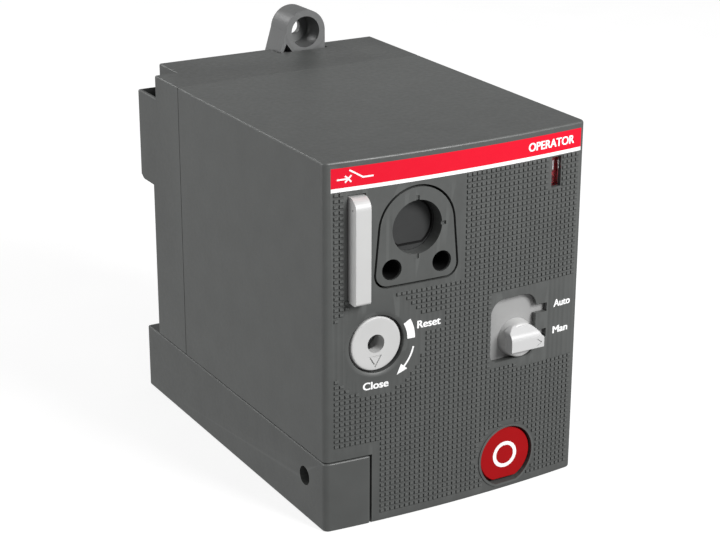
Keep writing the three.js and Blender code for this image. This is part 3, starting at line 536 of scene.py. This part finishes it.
def bump_grid():
    bm = bmesh.new()
    columns = [round((edge - BUMP_START[0]) / BUMP_PITCH[0]) for edge in FIELD_X]
    rows = [round((edge - BUMP_START[1]) / BUMP_PITCH[1]) for edge in FIELD_Z]
    for column in range(columns[0] - 1, columns[1] + 1):
        for row in range(rows[0] - 1, rows[1] + 1):
            x0 = BUMP_START[0] + column * BUMP_PITCH[0]
            z0 = BUMP_START[1] + row * BUMP_PITCH[1]
            x1, z1 = x0 + BUMP_PITCH[0], z0 + BUMP_PITCH[1]
            if not textured((x0 + x1) / 2, (z0 + z1) / 2):
                continue
            levels = []
            for height, lean in ((-BUMP_ROOT, 0), (BUMP_FOOT, 0), (BUMP_HEIGHT, 1)):
                inset = BUMP_GROOVE + BUMP_FLANK * lean
                low = z0 + BUMP_GROOVE + BUMP_UNDERSIDE * lean
                left, right, high = x0 + inset, x1 - inset, z1 - inset
                corners = [(left, low), (right, low), (right, high), (left, high)]
                levels.append([bm.verts.new((x, front_y(x) - height, z)) for x, z in corners])
            for near, far in zip(levels, levels[1:]):
                for i in range(4):
                    bm.faces.new((near[i - 1], near[i], far[i], far[i - 1]))
            for end in (levels[0], levels[-1]):
                bm.faces.new(end)
    return make(bm)


# ---- Pieces of the case -------------------------------------------------------------------------
def corner_block(extra):
    """The room that the wiring cover takes at the lower left."""
    return box(-9, WIRING_X[1] + extra, -9, 140, -9, WIRING_Z[1] + extra)


def cover_shell():
    through = (-BEYOND, BEYOND)
    button_hole = flat_circle(BUTTON_X, BUTTON_Z, BUTTON_HOLE, BUTTON_HOLE_FLAT)
    shell = soften(prism(plan(0, SEAM_Y + 9), "z", 0, HEIGHT), EDGE_RADIUS, 4)
    hollow = cut(prism(plan(WALL, SEAM_Y + 20), "z", WALL, HEIGHT - WALL), corner_block(WALL + CORNER_GAP))
    rim_radius, dish_depth = 10.6, 0.32  # the dish round the knob
    slope = [(rim_radius, -3), (rim_radius, -0.02), (9.9, 0.05), (KNOB_HOLE, dish_depth)]
    dish = bowed(turned([(0, -3), *slope, (0, dish_depth)], KNOB_X, KNOB_Z))
    cut(
        shell,
        box(-9, 99, COVER_REAR_Y, 140, -9, 140),
        hollow,
        corner_block(CORNER_GAP),
        box(*SELECTOR_BAY_X, 0.2, 3, *SELECTOR_BAY_Z),
        bowed(recess(BAND_X[0], BAND_X[1], LINE_Z[0], BAND_Z[1])),
        box(SLIDE_X[0] - 0.4, SLIDE_X[1] + 0.4, *through, SLIDE_Z[0] - 0.4, SLIDE_Z[1] + 0.5),
        prism(lock_outline(LOCK_OPENING), "y", *through),
        dish,
        rod("y", KNOB_HOLE, *through, KNOB_X, KNOB_Z, 128),
        prism(selector_outline(), "y", *through),
        box(*WINDOW_X, *through, *WINDOW_Z),
        prism(button_hole, "y", *through),
        rod("x", SCREW_HOLE, 10, 20, SCREW_Y, SCREW_Z),
    )
    soften(shell, 0.16)
    rim_width = 0.75
    rim_outline = flat_circle(BUTTON_X, BUTTON_Z, BUTTON_HOLE + rim_width, BUTTON_HOLE_FLAT - rim_width)
    rim = cut(prism(rim_outline, "y", -0.3, 1), prism(button_hole, "y", *through))
    join(shell, bowed(soften(rim, 0.2)), bump_grid())
    place(shell, "cover_shell", "case", "case", "front_cover")


def recess(x0, x1, z0, z1):
    """A shallow bed across the front for a film, in strips so that it can follow the bow."""
    steps = 40
    xs = [x0 + (x1 - x0) * i / steps for i in range(steps + 1)]
    outline = [(x, -1) for x in xs] + [(x, BAND_DEPTH + 0.1) for x in reversed(xs)]
    return prism(outline, "z", z0, z1)


def housing_shell():
    profile = [(SEAM_Y - 6, 0), (SIDE_BACK_Y, 0), (SIDE_BACK_Y, SKIRT_Z[0]), (REAR_Y, SKIRT_Z[0]),
               (REAR_Y, HEIGHT), (SEAM_Y - 6, HEIGHT)]
    shell = cut(
        prism(profile, "x", 0, WIDTH),
        box(-1, NOTCH[0], NOTCH[1], REAR_Y + 1, SKIRT_Z[1], HEIGHT + 1),
    )
    soften(shell, EDGE_RADIUS * 0.8, 3)
    hollow = join(
        box(WALL, WIDTH - WALL, 70, SIDE_BACK_Y + 1, WALL, HEIGHT - WALL),
        box(WALL, WIDTH - WALL, 100, 140, SKIRT_Z[0] - 9, SKIRT_Z[1] - WALL),
        box(NOTCH[0] + WALL, WIDTH - WALL, 100, 140, 90, HEIGHT - WALL),
    )
    cut(
        hollow,
        box(-1, NOTCH[0] + WALL, NOTCH[1] - WALL, 150, SKIRT_Z[1] - POCKET_DEPTH - POCKET_SKIN, HEIGHT + 1),
        corner_block(WALL + CORNER_GAP),
    )
    chamfer = [(125.1, 74), (125.1, 76.2), (127.2, 77.7), (130, 77.7), (130, 74)]
    cut(
        shell,
        box(-9, 99, -9, SEAM_Y, -9, 140),
        prism(chamfer, "x", -1, WIDTH + 1),
        hollow,
        corner_block(CORNER_GAP),
        box(POCKET_SKIN, NOTCH[0] - 0.3, NOTCH[1] + 0.6, REAR_Y - POCKET_SKIN, SKIRT_Z[1] - POCKET_DEPTH,
            SKIRT_Z[1] + 1),
        box(EAR_FOOT_X[0] - 0.5, EAR_FOOT_X[1] + 0.5, EAR_Y[0] - 1.2, REAR_Y + 1, 110, HEIGHT + 1),
    )
    soften(shell, 0.12)
    place(shell, "housing_shell", "case", "case", "rear_housing")


def back_frame():
    edge = WALL + GAP
    plate = cut(
        box(edge, WIDTH - edge, *PLATE_Y, edge, HEIGHT - edge),
        box(0, NOTCH[0] + edge, 90, 140, SKIRT_Z[1] - POCKET_DEPTH - edge, HEIGHT),
        corner_block(CORNER_GAP + edge),
    )
    (x0, x1), (z0, z1), width = (19, WIDTH - 7), (5, 101), 4
    rim = cut(
        box(x0, x1, PLATE_Y[0] + 1, REAR_Y, z0, z1),
        box(x0 + width, x1 - width, PLATE_Y[1], REAR_Y + 1, z0 + width, z1 - width),
    )
    tangent = arc(EAR_X, EAR_Z, EAR_RADIUS, 90, 152, 20)
    left, right = EAR_FOOT_X
    web = [(left, EAR_FOOT_Z), (right, EAR_FOOT_Z), (right, EAR_Z), *tangent]
    foot = [(57, EAR_FOOT_Z), (right, EAR_FOOT_Z), (right, EAR_Z), (EAR_X, EAR_Z)]
    pocket = [(51.6, 114.2), (55.7, 114.2), (53.2, 117.6)]
    pocket_depth, bore_floor = 4.5, 2
    frame_shape = join(
        plate,
        rim,
        rod("y", EAR_RADIUS, *EAR_Y, EAR_X, EAR_Z, 128),
        prism(web, "y", *EAR_Y),
        prism(foot, "y", *EAR_Y),
        box(left, right, PLATE_Y[0] + 1, EAR_Y[1], 106, HEIGHT - edge),
    )
    posts = [cad(f"chassis_post_{n}") for n in range(1, 5)]
    through = (PLATE_Y[0] - BEYOND, EAR_Y[1] + BEYOND)
    cut(
        frame_shape,
        box(*TOGGLE_SLOT_X, *through, *TOGGLE_SLOT_Z),
        prism(pocket, "y", through[0], EAR_Y[0] + pocket_depth),
        rod("y", ROD_HOLE, *through, BUTTON_X, BUTTON_Z),
        rod("y", EAR_BORE, through[0], EAR_Y[1] - bore_floor, EAR_X, EAR_Z, 96),
        rod("y", EAR_HOLE, *through, EAR_X, EAR_Z, 64),
        *[rod("y", POST_HOLE, *through, sum(x) / 2, sum(z) / 2, 32) for x, _, z in posts],
    )
    soften(frame_shape, 0.3)
    place(frame_shape, "back_frame", "case", "frame", "mounting_frame")


def corner_cover():
    skin = 1.8
    (_, x1), (_, y1), (_, z1) = WIRING_X, WIRING_Y, WIRING_Z
    shell = soften(cut(prism(plan(0, y1), "z", 0, z1), box(x1, 100, -9, 140, -9, 50)), 0.55, 4)
    cut(shell, box(skin, x1 - skin, 3, 140, skin, z1 - skin))
    join(shell, rod("x", 5, 0.9, x1 - 0.9, SCREW_Y, SCREW_Z))
    cut(
        shell,
        rod("x", SCREW_BORE, -1, SCREW_SEAT_X, SCREW_Y, SCREW_Z),
        rod("x", SCREW_HOLE, SCREW_SEAT_X - 1, x1 + 1, SCREW_Y, SCREW_Z),
    )
    soften(shell, 0.14)
    place(shell, "corner_cover", "case", "case", "wiring_cover")


def film_strip(x0, x1, z0, z1):
    steps = 44
    xs = [x0 + (x1 - x0) * i / steps for i in range(steps + 1)]
    outline = [(x, 0) for x in xs] + [(x, BAND_DEPTH) for x in reversed(xs)]
    return bowed(prism(outline, "z", z0, z1))


def band():
    place(film_strip(*BAND_X, *BAND_Z), "band_film", "case", "band", "name_band")
    place(film_strip(*LINE_X, LINE_Z[0], BAND_Z[0] - 0.02), "band_line", "case", "line", "band_underline")


# ---- Lock, slide, knob, selector, button and window ---------------------------------------------
def lock():
    through = (-BEYOND, BEYOND)
    long, short = LOCK_HOLE + 1.4, 0.55
    slots = [(long, short), (short, long)]  # half width and half height of two crossed slots
    slot_y = front_y(LOCK_X) + 0.4
    insert = prism(lock_outline(-LOCK_CLEARANCE), "y", -4, LOCK_DEPTH)
    plate = common(insert, prism(plan(0, 20), "z", 60, 112))
    screws = [LOCK_X - LOCK_SCREW_X, LOCK_X + LOCK_SCREW_X]
    cut(
        plate,
        rod("y", LOCK_HOLE, *through, LOCK_X, LOCK_Z, 128),
        *[box(LOCK_X - dx, LOCK_X + dx, -BEYOND, slot_y, LOCK_Z - dz, LOCK_Z + dz) for dx, dz in slots],
        *[rod("y", LOCK_SCREW_HOLE, *through, x, LOCK_SCREW_Z) for x in screws],
    )
    place(soften(plate, 0.14), "lock_insert", "case", "case", "lock_plate")

    (x0, x1), (y0, y1), (z0, z1) = cad("lock_seat")
    sleeve, sleeve_wall = LOCK_SCREW_HOLE - 0.03, 0.3
    screw_floor_y, screw_hole = 11.7, 1.8
    ledge = cut(
        box(x0, x1, y0, y1, z0, z1),
        prism(flat_circle(LOCK_X, LOCK_Z, RECESS_RADIUS, LOCK_Z - RECESS_FLAT), "y", 2, 10),
        *[rod("y", LOCK_SCREW_HOLE, -4, screw_floor_y, x, LOCK_SCREW_Z) for x in screws],
        *[rod("y", screw_hole, screw_floor_y - 0.7, y1 + 1, x, LOCK_SCREW_Z) for x in screws],
    )
    # The ledge wears a darker copy of the case plastic: painted shade in the lock's recess.
    place(soften(ledge, 0.1), "lock_ledge", "case", "black", "lock_seat", look="case_painted_shade")
    # Black linings in the two screw holes make them dark: painted shade.
    for side, x in zip(("left", "right"), screws):
        shade_lining = cut(
            rod("y", sleeve, front_y(x) + 0.45, screw_floor_y - 0.1, x, LOCK_SCREW_Z),
            rod("y", sleeve - sleeve_wall, -4, screw_floor_y + 0.3, x, LOCK_SCREW_Z),
        )
        place(shade_lining, f"lock_shade_lining_{side}", "case", "black")
    floor_y = cad("lock_blank")[1]
    # A black ring round the floor stands in for the recess's wall in shadow: painted shade.
    shade_line_width = 0.75  # width of the dark line round the lock's floor
    outline = flat_circle(LOCK_X, LOCK_Z, RECESS_RADIUS - shade_line_width, LOCK_Z - RECESS_FLAT + shade_line_width)
    floor = soften(prism(outline, "y", *floor_y), 0.12)
    # The floor wears the same darker copy: painted shade deep in the recess.
    place(floor, "lock_floor", "case", "case", "lock_blank", look="case_painted_shade")
    # The black ring that is painted shade.
    outer = flat_circle(LOCK_X, LOCK_Z, RECESS_RADIUS - 0.02, LOCK_Z - RECESS_FLAT + 0.02)
    painted_shade_ring = cut(prism(outer, "y", floor_y[0] + 0.35, floor_y[1]), prism(outline, "y", -5, 15))
    place(painted_shade_ring, "lock_painted_shade_ring", "case", "black")


def slide():
    nose = 3.5
    (x0, x1), (y0, y1), (z0, z1) = SLIDE_X, SLIDE_Y, SLIDE_Z
    profile = [
        (y1, z0),
        (y1, z1),
        *arc(y0 + nose, z1 - nose, nose, 90, 180, 14),
        *arc(y0 + 1, z0 + 1, 1, 180, 270, 6),
    ]
    stop = box(x0, x1, y1 - 4, y1, z0 - SLIDE_STOP, z1 + SLIDE_STOP)
    bar = soften(join(prism(profile, "x", x0, x1), stop), 0.75, 4)
    cut(
        bar,
        *[rod("x", PADLOCK_HOLE, 0, 20, PADLOCK_HOLE_Y, z) for z in PADLOCK_HOLE_Z],
        rod("x", 0.3, -1, x0 + 0.6, -3.1, z1 - 3.4, 24),
    )
    place(soften(bar, 0.08), "slide_bar", "padlock", "pale", "padlock_slide")


def knob():
    y = KNOB_FACE_Y
    lip = arc(KNOB_RADIUS - 0.6, y + 0.6, 0.6, -90, 0, 6)
    collar, hub = 10.6, 7  # radii of the parts behind the front
    skirt = [(KNOB_RADIUS, 2), (collar, 2), (collar, 3.8), (hub, 3.8), (hub, 13), (0, 13)]
    disc = turned([(0, y + 0.12), (4.5, y + 0.1), (7.2, y), *lip, *skirt], KNOB_X, KNOB_Z)
    socket, socket_depth, hollow = 2.85, 3.7, 4.3
    tip_x = KNOB_X - 0.3
    triangle = [(tip_x - 2.3, 54.1), (tip_x + 2.3, 54.1), (tip_x, 50.4)]
    share, middle_z = 0.62, 53  # the engraved line runs round a smaller triangle
    inner = [(tip_x + (a - tip_x) * share, middle_z + (b - middle_z) * share) for a, b in triangle]
    cut(
        disc,
        rod("y", socket, -3, y + socket_depth, KNOB_X, KNOB_Z, 72),
        rod("y", hollow, y + socket_depth - 0.1, 14, KNOB_X, KNOB_Z),
        cut(prism(triangle, "y", y - 1, y + 0.45), prism(inner, "y", y - 2, y + 2)),
    )
    place(soften(disc, 0.1), "knob_disc", "knob", "pale", "reset_knob")


def selector():
    x, z = SELECTOR_X, SELECTOR_Z
    face_y, back_y = 0.6, 2.2
    fall = 14.4  # radius in which the plate falls away towards its left edge
    plate = prism([(54.8, back_y), *arc(61, face_y + fall, fall, -115, -90, 12), (78.4, face_y),
                   (78.4, back_y)], "z", 34.6, 64.9)
    crown = arc(0, 24.5, 28, -90, -80.6, 6)
    shoulder = arc(4.55, -2.1, 1.05, -80, -5, 8)
    foot = 6.1
    dome = turned([*crown, *shoulder, (foot, face_y), (foot, 1.2), (0, 1.2)], x, z)
    base = cut(
        join(soften(plate, 0.2), box(x - 2.2, x + 2.2, 2, 10, z - 2, z + 2)),
        rod("y", foot + 0.05, -BEYOND, face_y + 0.5, x, z),
    )
    # The plate wears a darker copy of the pale plastic than the dome on it: painted shade inside the
    # opening.
    place(base, "selector_base", "selector", "pale", "selector_skirt", look="pale_painted_shade")
    place(dome, "selector_dome", "selector", "pale")

    (left, right), (front, _), (low, _) = cad("selector_handle")
    face_top, top, rear = 50.5, 55.2, -1.9
    outline = [(left, low), (right, low), (right, face_top - 0.2), *arc(66.7, 48.5, 6.6, 24, 139, 20)]
    hood = arc(front + 3, face_top, 3, 180, 135, 8)
    side = [(front, low - 1), (front, face_top - 0.5), *hood, (rear, top), (2, top), (2, low - 1)]
    grip = common(prism(outline, "y", front, 1), prism(side, "x", 55, 80))
    cut(grip, box(55, 80, -1.2, 3, 40, 60))
    grip = soft_blend(grip, 0.16, 4)
    for tip, leg in (((72.5, 48.9), (71.1, 49.9)), ((72.5, 48.9), (71.1, 47.9))):
        grip = cut(grip, stroke(tip, leg, 0.18, front - 1, front + 0.3))
    place(grip, "selector_grip", "selector", "white", "selector_handle")


def soft_blend(obj, voxel, rounds):
    """Runs a carved block into one soft moulding."""
    remesh = obj.modifiers.new("skin", "REMESH")
    remesh.mode = "VOXEL"
    remesh.voxel_size = voxel
    smooth = obj.modifiers.new("smooth", "SMOOTH")
    smooth.factor = 0.5
    smooth.iterations = rounds
    return bake(obj)


def stroke(start, end, half, y0, y1):
    """A straight bar between two points of the front, half wide to each side."""
    along = (Vector(end) - Vector(start)).normalized() * half
    across = Vector((-along.y, along.x))
    corners = [Vector(start) - along - across, Vector(end) + along - across,
               Vector(end) + along + across, Vector(start) - along + across]
    return prism([tuple(c) for c in corners], "y", y0, y1)


def button():
    y = BUTTON_FACE_Y
    cap = soften(prism(flat_circle(BUTTON_X, BUTTON_Z, BUTTON_RADIUS, 3.2), "y", y, 8), 0.35, 3)
    flange = prism(flat_circle(BUTTON_X, BUTTON_Z, BUTTON_RADIUS + 1.5, 2.6), "y", 1.1, 2.6)
    join(cap, flange)
    cut(cap, rod("y", 6, 3, 9, BUTTON_X, BUTTON_Z))
    place(cap, "stop_button", "trip", "red", "trip_button")
    outer, inner, proud = 4.35, 3.15, 0.06
    ring = cut(
        rod("y", outer, y - proud, y + 0.3, BUTTON_X, BUTTON_Z, 96),
        rod("y", inner, y - 1, y + 1, BUTTON_X, BUTTON_Z, 96),
    )
    place(ring, "button_ring", "trip", "line")


def window():
    (x0, x1), _, (_, z1) = cad("window_lens")
    z0 = WINDOW_Z[0] + GAP / 2
    near, far = 1.1, 1.8
    steps = 6
    xs = [x0 + (x1 - x0) * i / steps for i in range(steps + 1)]
    outline = [(x, near) for x in xs] + [(x, far) for x in reversed(xs)]
    place(bowed(prism(outline, "z", z0, z1)), "lens_pane", "case", "lens", "window_lens")
    flag_x, flag_y, flag_z = cad("status_flag")
    low_edge = WINDOW_Z[0] - 0.5
    plate = join(
        box(*flag_x, *flag_y, low_edge, flag_z[1]),
        box(79.9, 82.4, *flag_y, flag_z[0], low_edge + 1),
    )
    # It wears the darker red: painted shade behind the window.
    place(soften(plate, 0.1), "flag_plate", "carriage", "red", "status_flag", look="flag")
    # A white stroke on the flag where the lens shows a glint: a painted highlight.
    mark = box(79.45, 79.8, flag_y[0] - 0.05, flag_y[0] + 0.1, 100.7, 103.6)
    place(mark, "flag_painted_glint", "carriage", "line")


# ---- Printing on the front ----------------------------------------------------------------------
PRINT_Y = (-0.05, 0.12)  # the ink stands a little proud of the front
RESET_MARK = (9.95, 12.5)  # inner and outer radius, about the knob
ARROW = (12.02, 12.58)
SYMBOL_HALF = 0.24  # half the width of its strokes


def printed(name, outline):
    place(bowed(prism(outline, "y", *PRINT_Y)), name, "case", "line")


def letters(words, across, up):
    """Solid letters, in units of their own height, moved by across and up."""
    curve = bpy.data.curves.new("letters", "FONT")
    curve.body = words
    curve.extrude = 0.05
    curve.resolution_u = 6
    text = bpy.data.objects.new("letters", curve)
    bpy.context.scene.collection.objects.link(text)
    graph = bpy.context.evaluated_depsgraph_get()
    bm = bmesh.new()
    bm.from_mesh(bpy.data.meshes.new_from_object(text.evaluated_get(graph)))
    bpy.data.objects.remove(text)
    bmesh.ops.remove_doubles(bm, verts=bm.verts, dist=1e-5)
    bmesh.ops.translate(bm, verts=bm.verts, vec=(across, up, 0))
    return make(bm)


def lettering(name, words, x_limits, z_limits):
    """Generic function words in bold letters, fitted into a box on the front."""
    bold, taller = 0.032, 0.012
    corners = [(-bold, -taller), (bold, -taller), (-bold, taller), (bold, taller)]
    solid = join(letters(words, 0, 0), *[letters(words, *corner) for corner in corners])
    xs = [v.co.x for v in solid.data.vertices]
    ys = [v.co.y for v in solid.data.vertices]
    for vertex in solid.data.vertices:
        across = (vertex.co.x - min(xs)) / (max(xs) - min(xs))
        up = (vertex.co.y - min(ys)) / (max(ys) - min(ys))
        x = x_limits[0] + across * (x_limits[1] - x_limits[0])
        y = PRINT_Y[0] if vertex.co.z > 0 else PRINT_Y[1]
        vertex.co = (x, y + front_y(x), z_limits[0] + up * (z_limits[1] - z_limits[0]))
    place(solid, name, "case", "line")


def sector(inner, outer, start, end, steps):
    """A stretch of a ring round the knob, from start to end in degrees."""
    out = arc(KNOB_X, KNOB_Z, outer, start, end, steps)
    return [*out, *arc(KNOB_X, KNOB_Z, inner, end, start, steps)]


def printing():
    lettering("word_reset", "Reset", (30.1, 38.1), (60.5, 62.9))
    lettering("word_close", "Close", (12.3, 20.7), (44.0, 46.4))
    lettering("word_auto", "Auto", (80.1, 86.7), (57.1, 59.5))
    lettering("word_man", "Man", (80.1, 86.1), (48.4, 50.7))
    lettering("band_word", "OPERATOR", (68.2, 85.6), (108.7, 111.3))
    printed("reset_mark", sector(*RESET_MARK, 0, 29.6, 12))
    printed("arrow_shaft", sector(*ARROW, -43.5, -12.8, 14))
    printed("arrow_head", [(24.8, 50.3), (26.9, 48.5), (23.4, 47.1)])
    symbol = {
        "symbol_left": ((4.4, 109.6), (7.6, 109.6)),
        "symbol_cross_a": ((6.8, 108.8), (8.4, 110.4)),
        "symbol_cross_b": ((6.8, 110.4), (8.4, 108.8)),
        "symbol_arm": ((8.2, 112.0), (12.2, 109.6)),
        "symbol_right": ((12.2, 109.6), (15.2, 109.6)),
    }
    for name, (start, end) in symbol.items():
        place(bowed(stroke(start, end, SYMBOL_HALF, *PRINT_Y)), name, "case", "line")


# ---- CAD nodes that stay in view ----------------------------------------------------------------
def finish_cad_nodes():
    """Gives each carried-over node its material and rounds its edges a little."""
    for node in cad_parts.values():
        if node.hide_render:
            continue
        slot = node.data.materials[0].name
        node.material_slots[0].material = MATERIALS[slot]
        weld = node.modifiers.new("weld", "WELD")
        weld.merge_threshold = 0.002 * MM
        bevel = node.modifiers.new("bevel", "BEVEL")
        bevel.width = 0.18 * MM
        bevel.segments = 2
        bevel.limit_method = "ANGLE"
        bevel.angle_limit = math.radians(32)
        bevel.harden_normals = True
        for polygon in node.data.polygons:
            polygon.use_smooth = True
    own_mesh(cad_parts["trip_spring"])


# ---- Floor, light and camera --------------------------------------------------------------------
def studio():
    """A plain pale floor, an even white room, a main softbox at the upper right and two edge lights."""
    bm = bmesh.new()
    half = 6.0
    corners = [(-half, -half), (half, -half), (half, half), (-half, half)]
    bm.faces.new([bm.verts.new((x, y, CORNER.z - 0.0002)) for x, y in corners])
    floor = make(bm, "floor")
    graph = Graph("floor_paper")
    tone = graph.mix(graph.spread(graph.noise(40), 0, 1), (0.34, 0.34, 0.34), (0.36, 0.36, 0.36))
    graph.link(tone, graph.shader.inputs["Base Color"])
    graph.shader.inputs["Roughness"].default_value = 0.9
    graph.shader.inputs["Specular IOR Level"].default_value = 0
    graph.shader.inputs["Emission Color"].default_value = (1, 1, 1, 1)
    graph.shader.inputs["Emission Strength"].default_value = 0.78
    floor.data.materials.append(graph.material)
    floor.visible_diffuse = False
    floor.visible_glossy = False

    world = bpy.data.worlds.new("studio")
    world.use_nodes = True
    world.node_tree.nodes["Background"].inputs["Color"].default_value = (1, 1, 1, 1)
    world.node_tree.nodes["Background"].inputs["Strength"].default_value = 0.32
    bpy.context.scene.world = world
    middle = Vector((0, 0, CORNER.z + HEIGHT * MM / 2))
    lights = {  # direction, distance and size in metres, and how strongly it lights a face square to it
        "key": ((0.30, -0.80, 0.50), 0.8, 0.3, 1.12),
        "side": ((-0.93, 0.33, 0.14), 1.6, 0.9, 0.80),
        "rim": ((-0.346, 0.812, 0.47), 1.6, 0.4, 0.14),
    }
    for name, (direction, distance, size, strength) in lights.items():
        light = bpy.data.lights.new(name, "AREA")
        light.size = size
        light.energy = strength * (math.pi * distance) ** 2
        lamp = bpy.data.objects.new(name, light)
        lamp.location = middle + Vector(direction).normalized() * distance
        lamp.rotation_euler = (middle - lamp.location).to_track_quat("-Z", "Y").to_euler()
        bpy.context.scene.collection.objects.link(lamp)


def camera():
    azimuth, elevation, roll = (math.radians(angle) for angle in CAMERA_ANGLES)
    data = bpy.data.cameras.new("camera")
    data.sensor_width = 36
    data.lens = CAMERA_LENS
    data.clip_start = 0.01
    view = bpy.data.objects.new("camera", data)
    bpy.context.scene.collection.objects.link(view)
    back = Vector((math.sin(azimuth) * math.cos(elevation), -math.cos(azimuth) * math.cos(elevation),
                   math.sin(elevation)))
    right = Vector((math.cos(azimuth), math.sin(azimuth), 0))
    up = back.cross(right)
    right_rolled = right * math.cos(roll) + up * math.sin(roll)
    up_rolled = up * math.cos(roll) - right * math.sin(roll)
    axes = Matrix((right_rolled, up_rolled, back)).transposed()
    stand = Vector(CAMERA_STAND) * MM + CORNER
    view.matrix_world = Matrix.Translation(stand) @ axes.to_4x4()
    bpy.context.scene.camera = view
    bpy.context.scene.view_settings.view_transform = "Standard"


studio()
camera()
cover_shell()
housing_shell()
back_frame()
corner_cover()
band()
lock()
slide()
knob()
selector()
button()
window()
printing()
finish_cad_nodes()
